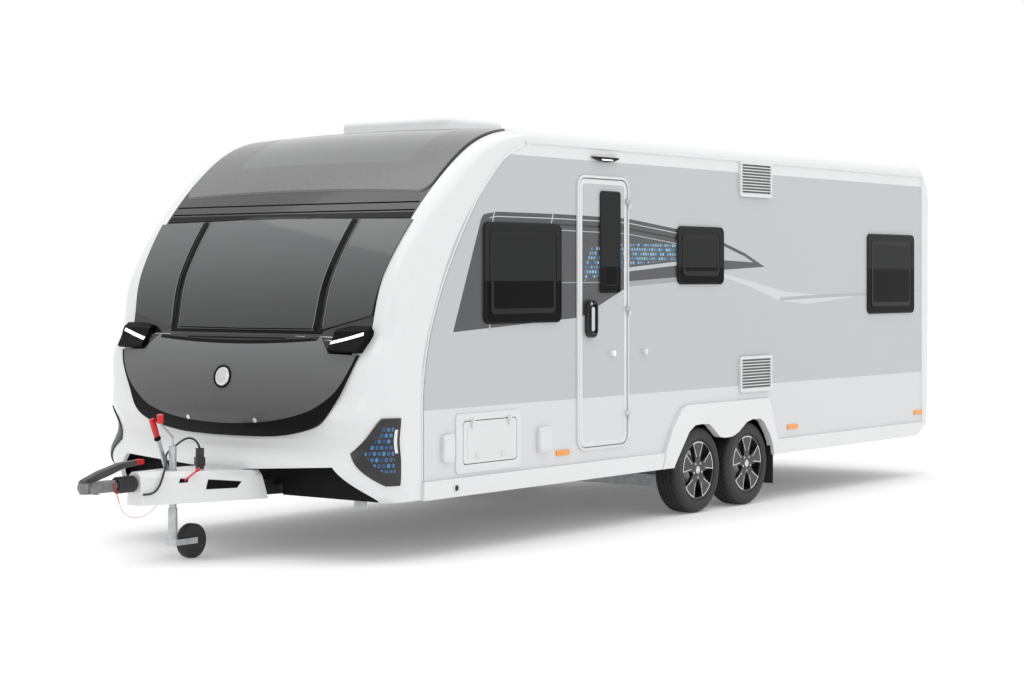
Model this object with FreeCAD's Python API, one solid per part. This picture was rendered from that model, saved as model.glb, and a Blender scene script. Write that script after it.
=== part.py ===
import FreeCAD
import Part
import math
import os

from FreeCAD import Vector

# Overall sizes, in mm. The origin is on the ground under the middle of the whole length,
# +X points to the coupling, +Y to the entrance door's side and +Z up.
# A place "from the tip" is measured backwards from the front of the coupling.
overall_length = 8310.0
body_width = 2280.0
wall_thickness = 28.0
roof_thickness = 35.0
panel_thickness = 30.0
floor_underside_height = 408.0
floor_thickness = 40.0
roof_edge_height = 2535.0
roof_crown = 33.0
roof_corner_radius = 78.0
wall_top_height = 2450.0
running_clearance = 0.3
moving_clearance = 6.0
overrun = 40.0
skin_thickness = 10.0

# Front end
front_pivot_from_tip = 2600.0
front_pivot_height = 1300.0
front_reach = 1311.0
front_bulge = 45.0
front_corner_radius = 260.0
front_bottom_height = 346.0
front_core = 200.0

# Rear end
rear_joint_from_tip = 8060.0
rear_pivot_height = 2250.0
rear_bulge = 24.0
rear_corner_radius = 150.0
rear_bottom_height = 414.0
rear_core = 60.0

rear_reach = overall_length - rear_joint_from_tip + rear_core - rear_bulge - skin_thickness

# Side joint between the walls and the front end
side_joint_from_tip = 1563.0
side_joint_bend_height = 1035.0

# Skirt and wheel surround
skirt_bottom_height = 340.0
skirt_top_height = 448.0
skirt_thickness = 18.0
spat_thickness = 24.0
spat_top_height = 757.0

# Running gear
tyre_diameter = 596.0
tyre_width = 185.0
rim_diameter = 414.0
front_axle_from_tip = 4600.0
axle_spacing = 662.0
tyre_face_inset = 28.0
stub_radius = 15.0
hub_radius = 110.0
hub_length = 60.0

# Chassis
rail_spacing = 700.0
rail_width = 50.0
rail_height = 140.0
rail_front_from_tip = 1640.0
rail_step_from_tip = 6300.0
rail_rear_from_tip = 8030.0
rail_rear_height = 80.0
section_wall = 6.0
arm_height = 90.0
arm_bottom_height = 350.0
drawbar_front_from_tip = 430.0
drawbar_front_spread = 80.0

# Coupling
coupling_height = 465.0
ball_from_tip = 62.0
ball_socket_radius = 25.3
shaft_radius = 27.0

# Jockey wheel
jockey_from_tip = 693.0
jockey_tube_radius = 22.0
jockey_tube_top_height = 657.0
jockey_sleeve_radius = 27.0
jockey_wheel_radius = 100.0
jockey_wheel_width = 50.0
jockey_trail = 148.0
jockey_travel = 120.0

os.makedirs("parts", exist_ok=True)


def at(from_tip):
    return overall_length / 2 - from_tip


def save(name, *shapes):
    solids = []
    for shape in shapes:
        solids.extend(shape.Solids)
    whole = solids[0] if len(solids) == 1 else Part.makeCompound(solids)
    whole.exportStep(os.path.join("parts", name + ".step"))
    print(name, len(solids), round(whole.Volume / 1e6, 3), whole.isValid())


def box(x0, x1, y0, y1, z0, z1):
    low = Vector(min(x0, x1), min(y0, y1), min(z0, z1))
    return Part.makeBox(abs(x1 - x0), abs(y1 - y0), abs(z1 - z0), low)


def rod(radius, start, end):
    direction = end - start
    return Part.makeCylinder(radius, direction.Length, start, direction)


def mirror(shape):
    return shape.mirror(Vector(0, 0, 0), Vector(0, 1, 0))


def face_of(edges):
    return Part.Face(Part.Wire(Part.__sortEdges__(edges)))


def polygon_edges(points):
    closed = points + [points[0]]
    return [Part.LineSegment(a, b).toShape() for a, b in zip(closed, closed[1:])]


def side_prism(points, y0, y1):
    """A solid with the outline of (x, z) points, from y0 to y1."""
    flat = [Vector(x, min(y0, y1), z) for x, z in points]
    return face_of(polygon_edges(flat)).extrude(Vector(0, abs(y1 - y0), 0))


def rounded(solid, axis, radius):
    """Rounds the edges of a box that run along one axis."""
    edges = []
    for edge in solid.Edges:
        run = edge.Vertexes[-1].Point - edge.Vertexes[0].Point
        if abs(run.normalize().dot(axis)) > 0.999:
            edges.append(edge)
    return solid.makeFillet(radius, edges)


def side_panel(tip0, tip1, z0, z1, radius, y0, y1):
    """A rectangle with round corners that faces sideways."""
    return rounded(box(at(tip0), at(tip1), y0, y1, z0, z1), Vector(0, 1, 0), radius)


def section(pivot, direction, angle, half_width, centre_reach, edge_reach, corner, core):
    """One closed section across the body: straight sides, round corners and a bowed face."""
    turn = math.radians(angle)
    bulge = centre_reach - edge_reach
    side = half_width - corner
    bow_radius = (half_width ** 2 + bulge ** 2) / (2 * bulge)
    bow_centre = centre_reach - bow_radius
    corner_centre = bow_centre + math.sqrt((bow_radius - corner) ** 2 - side ** 2)
    lean = math.atan2(side, corner_centre - bow_centre)

    def place(y, reach):
        x = pivot.x + direction * reach * math.cos(turn)
        return Vector(x, y, pivot.z + reach * math.sin(turn))

    meet_y = bow_radius * math.sin(lean)
    meet_reach = bow_centre + bow_radius * math.cos(lean)
    middle = (math.pi / 2 + lean) / 2
    mid_y = side + corner * math.sin(middle)
    mid_reach = corner_centre + corner * math.cos(middle)
    left_back = place(half_width, core)
    left_side = place(half_width, corner_centre)
    left_meet = place(meet_y, meet_reach)
    right_meet = place(-meet_y, meet_reach)
    right_side = place(-half_width, corner_centre)
    right_back = place(-half_width, core)
    return Part.Wire([
        Part.LineSegment(left_back, left_side).toShape(),
        Part.Arc(left_side, place(mid_y, mid_reach), left_meet).toShape(),
        Part.Arc(left_meet, place(0, centre_reach), right_meet).toShape(),
        Part.Arc(right_meet, place(-mid_y, mid_reach), right_side).toShape(),
        Part.LineSegment(right_side, right_back).toShape(),
        Part.LineSegment(right_back, left_back).toShape(),
    ])


# Each row: height as a share of the pivot's height, then shares of reach, bulge and corner.
front_low_shares = [
    (0.266, 1.060, 1.6, 1.0),
    (0.33, 1.086, 1.6, 1.0),
    (0.43, 1.090, 1.5, 0.98),
    (0.55, 1.062, 1.0, 0.92),
    (0.63, 1.070, 1.2, 0.80),
    (0.74, 1.069, 1.4, 0.62),
    (0.81, 1.061, 1.4, 0.54),
    (0.88, 1.0465, 1.3, 0.50),
    (0.945, 1.0275, 1.0, 0.46),
    (1.0, 0.990, 0.8, 0.42),
]
# Each row: the section's angle in degrees, then shares of reach, bulge and corner.
front_high_shares = [
    (9, 0.968, 0.6, 0.34),
    (19, 0.942, 0.55, 0.31),
    (28, 0.916, 0.55, 0.29),
    (40, 0.895, 0.55, 0.28),
    (56, 0.897, 0.6, 0.28),
    (74, 0.928, 0.7, 0.29),
    (82, 0.935, 0.73, 0.30),
]
rear_low_shares = [
    (0.184, 0.92, 1.0, 1.0),
    (0.30, 0.97, 1.0, 1.0),
    (0.50, 1.0, 1.0, 1.0),
    (0.75, 1.0, 1.0, 1.0),
    (1.0, 0.99, 1.0, 0.9),
]
rear_high_shares = [(30, 0.98, 1.1, 0.8), (60, 1.0, 1.2, 0.65)]
station_count = 20


def stations(pivot_height, reach, bulge, corner, low_shares, high_shares):
    """Evenly spaced stations along an end's side profile: height or angle, reach, bulge and corner."""
    rows = []
    for height_share, reach_share, bulge_share, corner_share in low_shares:
        rows.append((pivot_height * height_share, 0, reach * reach_share, bulge * bulge_share, corner * corner_share))
    for angle, reach_share, bulge_share, corner_share in high_shares:
        rows.append((pivot_height, angle, reach * reach_share, bulge * bulge_share, corner * corner_share))
    rows.append((pivot_height, 90, roof_edge_height - pivot_height, roof_crown, roof_corner_radius))
    travel = [0.0]
    for before, after in zip(rows, rows[1:]):
        arc = math.radians(after[1] - before[1]) * (after[2] + before[2]) / 2
        travel.append(travel[-1] + math.hypot(after[0] - before[0] + arc, after[2] - before[2]))
    face_curve = Part.BSplineCurve()
    face_curve.interpolate(Points=[Vector(s, row[2], row[3]) for s, row in zip(travel, rows)], Parameters=travel)
    corner_curve = Part.BSplineCurve()
    corner_curve.interpolate(Points=[Vector(s, row[4], 0) for s, row in zip(travel, rows)], Parameters=travel)
    result = []
    for step in range(station_count + 1):
        done = travel[-1] * step / station_count
        place = max(n for n in range(len(rows) - 1) if travel[n] <= done or n == 0)
        share = (done - travel[place]) / (travel[place + 1] - travel[place])
        height = rows[place][0] + share * (rows[place + 1][0] - rows[place][0])
        angle = rows[place][1] + share * (rows[place + 1][1] - rows[place][1])
        face = face_curve.value(done)
        result.append((height, angle, face.y, face.z, corner_curve.value(done).y))
    return result


def end_block(offset, front):
    """The outer form of the front or rear end as a solid, grown outwards by an offset."""
    if front:
        direction, x, core = 1, at(front_pivot_from_tip), front_core
        rows = stations(front_pivot_height, front_reach, front_bulge, front_corner_radius, front_low_shares, front_high_shares)
    else:
        direction, x, core = -1, at(rear_joint_from_tip - rear_core), rear_core
        rows = stations(rear_pivot_height, rear_reach, rear_bulge, rear_corner_radius, rear_low_shares, rear_high_shares)
    core_now = core - abs(offset) if offset < 0 else core
    wires = []
    for height, angle, reach, bulge, corner in rows:
        wires.append(section(Vector(x, 0, height), direction, angle, body_width / 2 + offset, reach + bulge + offset,
                             reach + offset, corner + offset, core_now))
    return Part.makeLoft(wires, True, False)


# Each row: places on the side joint as shares of the way to the pivot and to the wall's top.
joint_shares = [(0.07, 0.222), (0.231, 0.49), (0.476, 0.738), (0.591, 0.822), (0.688, 0.889), (0.788, 0.953)]


def behind_joint():
    """Everything behind the curved joint between the front end and the walls."""
    start = Vector(at(side_joint_from_tip), -body_width, side_joint_bend_height)
    top = Vector(at(front_pivot_from_tip), -body_width, wall_top_height)
    points = [start]
    for along, up in joint_shares:
        points.append(Vector(start.x + along * (top.x - start.x), -body_width, start.z + up * (top.z - start.z)))
    points.append(top)
    curve = Part.BSplineCurve()
    curve.interpolate(points, InitialTangent=Vector(0, 0, 1), FinalTangent=Vector(top.x - start.x, 0, top.z - start.z))
    above = Vector(top.x, top.y, 2 * wall_top_height)
    far_above = Vector(-overall_length, top.y, 2 * wall_top_height)
    far_below = Vector(-overall_length, top.y, -wall_top_height)
    below = Vector(start.x, top.y, -wall_top_height)
    edges = [curve.toShape()]
    corners = [top, above, far_above, far_below, below, start]
    for a, b in zip(corners, corners[1:]):
        edges.append(Part.LineSegment(a, b).toShape())
    return Part.Face(Part.Wire(edges)).extrude(Vector(0, 2 * body_width, 0))


def across_prism(points, x0, x1):
    """A solid with the outline of (y, z) points, from x0 to x1."""
    flat = [Vector(min(x0, x1), y, z) for y, z in points]
    return face_of(polygon_edges(flat)).extrude(Vector(abs(x1 - x0), 0, 0))


half_width = body_width / 2
floor_top_height = floor_underside_height + floor_thickness
front_block = end_block(0, True)
front_inner = end_block(-panel_thickness, True)
rear_block = end_block(0, False)
rear_inner = end_block(-panel_thickness, False)
behind = behind_joint()

# Front windows: three panes over openings in the front end. Outlines as shares of the half width and window height.
window_bottom_height = 1317.0
window_rise = 665.0
pillar_gap = 34.0
front_x0 = at(front_pivot_from_tip - front_reach * 0.5)
front_x1 = at(0)


def window_outline(shares, inset):
    middle_y = sum(y for y, z in shares) / len(shares) * half_width
    points = []
    for y_share, z_share in shares:
        y = y_share * half_width
        z = window_bottom_height + z_share * window_rise
        points.append((y + (inset if y < middle_y else -inset), z + (inset if z_share < 0.5 else -inset)))
    return points


middle_window_shares = [(-0.497, 0.0), (0.497, 0.0), (0.522, 0.99), (0.0, 1.01), (-0.522, 0.99)]
outer_window_shares = [(0.530, 0.005), (0.852, 0.141), (0.906, 0.976), (0.555, 0.99)]
opening_inset = 30.0
skin = end_block(skin_thickness, True).cut(front_block)


def mirrored_points(points):
    return [(-y, z) for y, z in points]


panes = []
openings = []
for shares in (middle_window_shares, outer_window_shares):
    outline = window_outline(shares, 0)
    inner = window_outline(shares, opening_inset)
    panes.append(skin.common(across_prism(outline, front_x0, front_x1)))
    openings.append(across_prism(inner, front_x0, front_x1))
panes.append(mirror(panes[1]))
openings.append(mirror(openings[1]))
save("front_windows", *panes)

# Sunroof panel over the top of the front end
sunroof_front_from_tip = 1765.0
sunroof_rear_from_tip = 2580.0
sunroof_half_width = 1010.0
sunroof_glass_front_from_tip = 1960.0
sunroof_glass_rear_from_tip = 2400.0
sunroof_glass_half_width = 700.0


def top_panel(tip0, tip1, half, radius):
    low = front_pivot_height + front_core + front_reach / 3
    return rounded(box(at(tip0), at(tip1), -half, half, low, 2 * wall_top_height), Vector(0, 0, 1), radius)


glass_outline = top_panel(sunroof_glass_front_from_tip, sunroof_glass_rear_from_tip, sunroof_glass_half_width, overrun)
panel_outline = top_panel(sunroof_front_from_tip, sunroof_rear_from_tip, sunroof_half_width, 2 * overrun)
sunroof = skin.common(panel_outline)
sunroof_glass = sunroof.common(glass_outline)
save("sunroof_panel", sunroof.cut(glass_outline))
save("sunroof_glass", sunroof_glass)
openings.append(top_panel(sunroof_glass_front_from_tip + opening_inset, sunroof_glass_rear_from_tip - opening_inset,
                          sunroof_glass_half_width - opening_inset, opening_inset))

# Locker lid: a bowed lid below the windows, hinged along its top edge
lid_top_height = 1288.0
lid_bottom_height = 694.0
lid_half_width = 980.0
lid_reach = 1529.0
lid_bow = 160.0
lid_wall = 24.0
lid_back_from_tip = 1500.0
lid_block_share = 1.15
# Each row: height as a share of the lid's height, then shares of the lid's full reach and bow.
lid_profile_shares = [(-0.06, 0.930, 0.66), (0.03, 0.962, 0.66), (0.14, 0.992, 0.64), (0.28, 0.998, 0.61), (0.42, 0.990, 0.55),
                      (0.58, 0.984, 0.50), (0.74, 0.967, 0.42), (0.9, 0.935, 0.33), (1.06, 0.888, 0.22)]
# The lid's side and bottom edge: shares of its half width and of its height.
lid_edge_shares = [(1.0, 1.0), (0.993, 0.85), (0.917, 0.565), (0.866, 0.414), (0.804, 0.25), (0.727, 0.150), (0.592, 0.074), (0.443, 0.026),
                   (0.22, 0.004), (0.0, 0.0)]
lip_edge_shares = [(0.985, 1.0), (0.975, 0.84), (0.922, 0.63), (0.855, 0.478), (0.770, 0.367), (0.699, 0.300), (0.594, 0.239),
                   (0.449, 0.185), (0.30, 0.152), (0.0, 0.130)]


def bowed_block(offset):
    wires = []
    width = lid_block_share * lid_half_width
    back = at(lid_back_from_tip)
    for height_share, reach_share, bow_share in lid_profile_shares:
        z = lid_bottom_height + height_share * (lid_top_height - lid_bottom_height)
        x = at(front_pivot_from_tip) + lid_reach * reach_share + offset
        side = x - lid_bow * bow_share * lid_block_share ** 2
        arc = Part.Arc(Vector(side, width, z), Vector(x, 0, z), Vector(side, -width, z)).toShape()
        wires.append(Part.Wire([
            arc,
            Part.LineSegment(Vector(side, -width, z), Vector(back, -width, z)).toShape(),
            Part.LineSegment(Vector(back, -width, z), Vector(back, width, z)).toShape(),
            Part.LineSegment(Vector(back, width, z), Vector(side, width, z)).toShape(),
        ]))
    return Part.makeLoft(wires, True, False)


def lid_prism(shares, inset):
    height = lid_top_height - lid_bottom_height
    x = at(lid_back_from_tip) - overrun
    grow_y = (lid_half_width - inset) / lid_half_width
    grow_z = (height - 2 * inset) / height
    points = []
    for y_share, z_share in shares:
        points.append(Vector(x, y_share * lid_half_width * grow_y, lid_bottom_height + inset + z_share * height * grow_z))
    whole = points + [Vector(p.x, -p.y, p.z) for p in reversed(points[:-1])]
    curve = Part.BSplineCurve()
    curve.interpolate(whole)
    top = Part.LineSegment(whole[-1], whole[0]).toShape()
    face = Part.Face(Part.Wire([curve.toShape(), top]))
    return face.extrude(Vector(overall_length, 0, 0))


lid_full = bowed_block(0).common(lid_prism(lid_edge_shares, 0))
lid_inner = bowed_block(-lid_wall).common(lid_prism(lid_edge_shares, lid_wall))
cap_clear = end_block(moving_clearance, True)
lid_shell = lid_full.cut(lid_inner).cut(cap_clear)
lid_centre = lid_prism(lip_edge_shares, 0)

# Hinges of the locker lid: pins along Y, held by brackets on the front end
lid_hinge_from_tip = 1226.0
lid_hinge_height = 1276.0
lid_pin_radius = 4.0
lid_pin_length = 90.0
lid_bracket_width = 40.0
lid_bracket_height = 10.0
lid_hinge_y = 560.0
lid_brackets = []
for side in (-1, 1):
    y = side * lid_hinge_y
    centre = Vector(at(lid_hinge_from_tip), y, lid_hinge_height)
    pin = rod(lid_pin_radius, centre - Vector(0, lid_pin_length / 2, 0), centre + Vector(0, lid_pin_length / 2, 0))
    arm = box(centre.x + lid_pin_radius / 2, at(lid_back_from_tip), y - lid_bracket_width / 2, y + lid_bracket_width / 2,
              centre.z - lid_bracket_height / 2, centre.z + lid_bracket_height / 2)
    lid_brackets.append(pin.fuse(arm).cut(front_block))
    pocket = box(centre.x + 2 * lid_pin_radius, at(lid_back_from_tip), y - lid_bracket_width / 2 - moving_clearance,
                 y + lid_bracket_width / 2 + moving_clearance,
                 centre.z - 4 * lid_bracket_height, centre.z + 2 * lid_bracket_height)
    reach_hole = rod(lid_pin_radius + running_clearance, pin.CenterOfMass - Vector(0, lid_pin_length, 0),
                     pin.CenterOfMass + Vector(0, lid_pin_length, 0))
    lid_shell = lid_shell.cut(pocket).cut(reach_hole)
# The lamps take the lid's upper corners, inside the circle that the lid swings round.
lamp_radius = 89.0
lamp_points = [(762.0, 1329.0), (762.0, 1197.0), (978.0, 1197.0), (1003.0, 1300.0), (988.0, 1385.0)]
lamp_front = 60.0
lamp_brow_from_tip = 1194.0
lamp_brow_height = 1288.0
lamp_top_from_tip = 1322.0
lamp_top_height = 1385.0
notch_y = lamp_points[1][0] - 2 * moving_clearance
notch_height = lamp_points[1][1] - moving_clearance
notch_points = [(notch_y, wall_top_height), (notch_y, lid_bottom_height), (half_width, lid_bottom_height), (half_width, wall_top_height)]
corner_points = [(notch_y, wall_top_height), (notch_y, notch_height), (half_width, notch_height), (half_width, wall_top_height)]
lamp_axis = [Vector(at(lid_hinge_from_tip), y, lid_hinge_height) for y in (0, half_width)]
notch = across_prism(notch_points, at(lid_back_from_tip), front_x1).common(rod(lamp_radius + moving_clearance, *lamp_axis))
notch = notch.fuse(across_prism(corner_points, at(lid_back_from_tip), front_x1))
# The lid's top ends round its pins, so that nothing behind them swings down into the front end.
lid_heel_radius = 8.0
lid_heel_gap = 6.0
lid_heel_height = 20.0
heel_axis = [Vector(at(lid_hinge_from_tip), y, lid_hinge_height) for y in (-half_width, half_width)]
heel = box(at(lid_back_from_tip), at(lid_hinge_from_tip) + lid_heel_gap, -half_width, half_width, lid_hinge_height - lid_heel_height, wall_top_height)
lid_shell = lid_shell.cut([notch, mirror(notch), heel.cut(rod(lid_heel_radius, *heel_axis))])
save("locker_lid", lid_shell.common(lid_centre))
save("locker_lip", lid_shell.cut(lid_centre))

# Front end panel, open at the windows, the sunroof and the locker
front_panel = front_block.cut(front_inner).cut(behind)
locker_mouth = lid_prism(lid_edge_shares, 3 * lid_wall)
recess_top_height = 497.0
recess_shoulder_height = 548.0
recess_shoulder_y = 841.0
recess_foot_y = 1110.0
recess_points = [(0, recess_top_height), (recess_shoulder_y, recess_shoulder_height),
                 (recess_shoulder_y + overrun, recess_shoulder_height - overrun), (recess_foot_y, front_bottom_height - overrun),
                 (-recess_foot_y, front_bottom_height - overrun), (-recess_shoulder_y - overrun, recess_shoulder_height - overrun),
                 (-recess_shoulder_y, recess_shoulder_height)]
recess = across_prism(recess_points, front_x0, front_x1)
for opening in openings + [locker_mouth, recess]:
    front_panel = front_panel.cut(opening)
groove_depth = 6.0
groove_height = 9.0
groove_half_width = 1000.0
groove_heights = [2020.0, 2068.0]
groove_ring = front_block.cut(end_block(-groove_depth, True))
for z in groove_heights:
    groove = box(front_x0, front_x1, -groove_half_width, groove_half_width, z, z + groove_height)
    front_panel = front_panel.cut(groove_ring.common(groove))
save("front_panel", front_panel.fuse(lid_brackets))

# Lamps at the lower outer window corners
lamp_skin = end_block(lamp_front, True).cut(front_block)
brow_points = [(at(lamp_brow_from_tip), lamp_brow_height), (at(lamp_top_from_tip), lamp_top_height), (at(lamp_top_from_tip), wall_top_height),
               (at(0), wall_top_height), (at(0), lamp_brow_height)]
lamp = lamp_skin.common(across_prism(lamp_points, front_x0, front_x1)).common(rod(lamp_radius, *lamp_axis))
lamp = lamp.cut([side_prism(brow_points, 0, body_width), panes[1]])
save("front_lamps", lamp, mirror(lamp))

# Corner grilles low on the front corners
grille_points = [(940.0, 629.0), (1108.0, 828.0), (half_width + overrun, 828.0), (half_width + overrun, 443.0), (1108.0, 443.0)]
grille_rear_from_tip = 1365.0
grille = skin.common(across_prism(grille_points, at(grille_rear_from_tip), front_x1))
save("corner_grilles", grille, mirror(grille))

# Undertray: the dark panel set back behind the recess
undertray_from_tip = 1300.0
undertray_thickness = 8.0
arm_passage_half_width = 296.0
undertray = box(at(undertray_from_tip), at(undertray_from_tip + undertray_thickness), -half_width, half_width,
                front_bottom_height, lid_bottom_height - overrun)
undertray = undertray.common(front_inner).cut(box(at(0), at(overall_length), -arm_passage_half_width, arm_passage_half_width,
                                                  0, floor_underside_height))

# Locker tray and bulkhead, inside the front end
tray_rear_from_tip = 1660.0
tray_thickness = 12.0
tray = box(at(tray_rear_from_tip), at(0), -half_width, half_width, lid_bottom_height - overrun, lid_bottom_height - overrun + tray_thickness)
bulkhead = box(at(tray_rear_from_tip), at(tray_rear_from_tip + tray_thickness), -half_width, half_width,
               lid_bottom_height - overrun, window_bottom_height)
shelf = box(at(tray_rear_from_tip), at(0), -half_width, half_width, lid_top_height - 2 * tray_thickness, lid_top_height - tray_thickness)
locker_tray = tray.fuse([bulkhead, shelf, undertray]).common(front_inner)
for side in (-1, 1):
    locker_tray = locker_tray.cut(box(at(side_joint_from_tip), at(overall_length), side * half_width,
                                      side * (half_width - wall_thickness), 0, wall_top_height))
save("locker_tray", locker_tray)

# Floor, between the walls and inside both ends
floor_slab = box(at(0), at(overall_length), -half_width, half_width, floor_underside_height, floor_top_height)
mid_floor = box(at(front_pivot_from_tip - front_core), at(rear_joint_from_tip), wall_thickness - half_width,
                half_width - wall_thickness, floor_underside_height, floor_top_height)
floor = floor_slab.common(front_inner).fuse(mid_floor).fuse(floor_slab.common(rear_inner)).removeSplitter()
for side in (-1, 1):
    floor = floor.cut(box(at(0), at(rear_joint_from_tip), side * half_width, side * (half_width - wall_thickness), 0, wall_top_height))
floor = floor.cut(box(at(0), at(undertray_from_tip + undertray_thickness), -half_width, half_width, 0, wall_top_height))

# Wheel boxes: dark liners over each pair of wheels
rear_axle_from_tip = front_axle_from_tip + axle_spacing
hub_height = tyre_diameter / 2
tyre_outer_y = half_width + skirt_thickness - tyre_face_inset
tyre_inner_y = tyre_outer_y - tyre_width
liner_margin = 70.0
liner_front_margin = 91.0
liner_rear_margin = 34.0
liner_thickness = 6.0
liner_front_from_tip = front_axle_from_tip - tyre_diameter / 2 - liner_front_margin
liner_rear_from_tip = rear_axle_from_tip + tyre_diameter / 2 + liner_rear_margin
liner_top_height = tyre_diameter + 2 * liner_margin
liner_inner_y = tyre_inner_y - liner_margin / 2
wall_inner_y = half_width - wall_thickness


def wheel_box(inset):
    return box(at(liner_front_from_tip + inset), at(liner_rear_from_tip - inset), liner_inner_y + inset, wall_inner_y,
               floor_underside_height - (overrun if inset else 0), liner_top_height - inset)


liner = wheel_box(0).cut(wheel_box(liner_thickness))
save("wheel_boxes", liner, mirror(liner))
floor = floor.cut(wheel_box(0)).cut(mirror(wheel_box(0)))
save("floor", floor)

# Side walls
wall_plate = box(at(0), at(rear_joint_from_tip), wall_inner_y, half_width, floor_underside_height, wall_top_height).common(behind)
side_window_frame = 25.0
side_window_thickness = 14.0
side_windows = [(2142.0, 2929.0, 1349.0, 1962.0), (4298.0, 4894.0, 1583.0, 1980.0), (7079.0, 7888.0, 1346.0, 1975.0)]
side_window_radius = 45.0
# The arch over both wheels: places behind its datum as shares of its pitch, heights as shares of the tyre's.
arch_from_tip = 4544.0
arch_pitch = 682.0
arch_shares = [(-0.47, 0.50), (-0.452, 0.591), (-0.327, 0.763), (-0.177, 0.963), (-0.069, 1.029), (0.041, 1.037), (0.207, 1.027),
               (0.262, 0.988), (0.421, 0.862), (0.50, 0.848), (0.60, 0.848), (0.682, 0.857), (0.789, 0.898), (0.952, 1.005),
               (1.069, 1.032), (1.226, 1.029), (1.309, 0.983), (1.433, 0.827), (1.491, 0.713), (1.518, 0.584), (1.53, 0.50)]
arch_points = [(at(arch_from_tip + a * arch_pitch), z * tyre_diameter) for a, z in arch_shares]
arch_points.append((arch_points[-1][0], 0))
arch_points.append((arch_points[0][0], 0))
arch = side_prism(arch_points, wall_inner_y - overrun, half_width + 2 * overrun)


def pane_and_hole(window):
    tip0, tip1, z0, z1 = window
    pane = side_panel(tip0, tip1, z0, z1, side_window_radius, half_width, half_width + side_window_thickness)
    hole = side_panel(tip0 + side_window_frame, tip1 - side_window_frame, z0 + side_window_frame, z1 - side_window_frame,
                      side_window_radius, wall_inner_y - overrun, half_width + overrun)
    return pane, hole


wall_with_windows = wall_plate.cut(arch)
left_panes = []
for window in side_windows:
    pane, hole = pane_and_hole(window)
    left_panes.append(pane)
    wall_with_windows = wall_with_windows.cut(hole)
save("side_windows_left", *left_panes)
save("side_windows_right", *[mirror(pane) for pane in left_panes])

# Entrance door: frame, leaf, window, handle and pin hinges at its rear edge
door_front_from_tip = 3131.0
door_rear_from_tip = 3676.0
door_bottom_height = 545.0
door_top_height = 2261.0
door_corner_radius = 60.0
door_frame_width = 22.0
door_frame_proud = 10.0
door_leaf_proud = 6.0
door_leaf_lap = 16.0
door_window = (3363.0, 3584.0, 1530.0, 2186.0)
door_window_radius = 22.0
door_hinge_from_tip = door_rear_from_tip + door_frame_width / 2
door_hinge_y = half_width + 24.0
door_pin_radius = 4.0
door_knuckle_radius = 9.0
door_knuckle_height = 30.0
door_hinge_heights = [700.0, 1380.0, 2080.0]
door_gap = 5.0

door_outer = side_panel(door_front_from_tip - door_frame_width, door_rear_from_tip + door_frame_width,
                        door_bottom_height - door_frame_width, door_top_height + door_frame_width,
                        door_corner_radius + door_frame_width, wall_inner_y, half_width + door_frame_proud)
door_space = side_panel(door_front_from_tip - door_gap, door_rear_from_tip + door_gap, door_bottom_height - door_gap,
                        door_top_height + door_gap, door_corner_radius + door_gap, wall_inner_y - overrun, half_width + overrun)
door_frame = door_outer.cut(door_space)
left_wall = wall_with_windows.cut(door_outer)
door_leaf = side_panel(door_front_from_tip, door_rear_from_tip, door_bottom_height, door_top_height, door_corner_radius,
                       wall_inner_y, half_width + door_leaf_proud)
for z in door_hinge_heights:
    foot = Vector(at(door_hinge_from_tip), door_hinge_y, z)
    mid = foot + Vector(0, 0, door_knuckle_height)
    top = mid + Vector(0, 0, door_knuckle_height)
    block = box(foot.x - door_knuckle_radius, foot.x + door_knuckle_radius, half_width + door_frame_proud, door_hinge_y, foot.z, mid.z)
    door_frame = door_frame.fuse([rod(door_knuckle_radius, foot, mid), rod(door_pin_radius, foot, top), block])
    gap = Vector(0, 0, running_clearance)
    eye = rod(door_knuckle_radius, mid + gap, top)
    leaf_tab = box(foot.x, at(door_rear_from_tip - door_frame_width), half_width + door_frame_proud + door_gap, door_hinge_y,
                   mid.z + running_clearance, top.z)
    leaf_foot = box(at(door_rear_from_tip - door_gap), at(door_rear_from_tip - door_frame_width), half_width, door_hinge_y,
                    mid.z + running_clearance, top.z)
    bore = rod(door_pin_radius + running_clearance, mid, top + gap)
    door_leaf = door_leaf.fuse([eye, leaf_tab, leaf_foot]).cut(bore)
pane_hole = side_panel(door_window[0] + side_window_frame, door_window[1] - side_window_frame, door_window[2] + side_window_frame,
                       door_window[3] - side_window_frame, door_window_radius, wall_inner_y - overrun, half_width + overrun)
door_leaf = door_leaf.cut(pane_hole)
pane_y = half_width + door_leaf_proud
save("door_window", side_panel(*door_window, door_window_radius, pane_y, pane_y + side_window_thickness))
handle_front_from_tip = 3192.0
handle_rear_from_tip = 3302.0
handle_bottom_height = 1244.0
handle_top_height = 1486.0
handle_depth = 30.0
door_handle = side_panel(handle_front_from_tip, handle_rear_from_tip, handle_bottom_height, handle_top_height,
                         door_corner_radius - door_frame_proud, pane_y, pane_y + handle_depth)
grip_recess = side_panel(handle_front_from_tip + 3 * door_gap, handle_rear_from_tip - 3 * door_gap, handle_bottom_height + 6 * door_gap,
                         handle_top_height - 6 * door_gap, door_pin_radius, pane_y + handle_depth / 2, pane_y + 2 * handle_depth)
knob_from_tip = 3498.0
knob_height = 1137.0
knob_radius = 19.0
knob_length = 26.0
knob_foot = Vector(at(knob_from_tip), pane_y, knob_height)
save("door_handle", door_handle.cut(grip_recess), rod(knob_radius, knob_foot, knob_foot + Vector(0, knob_length, 0)))
save("door_leaf", door_leaf)
save("door_frame", door_frame)

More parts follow.
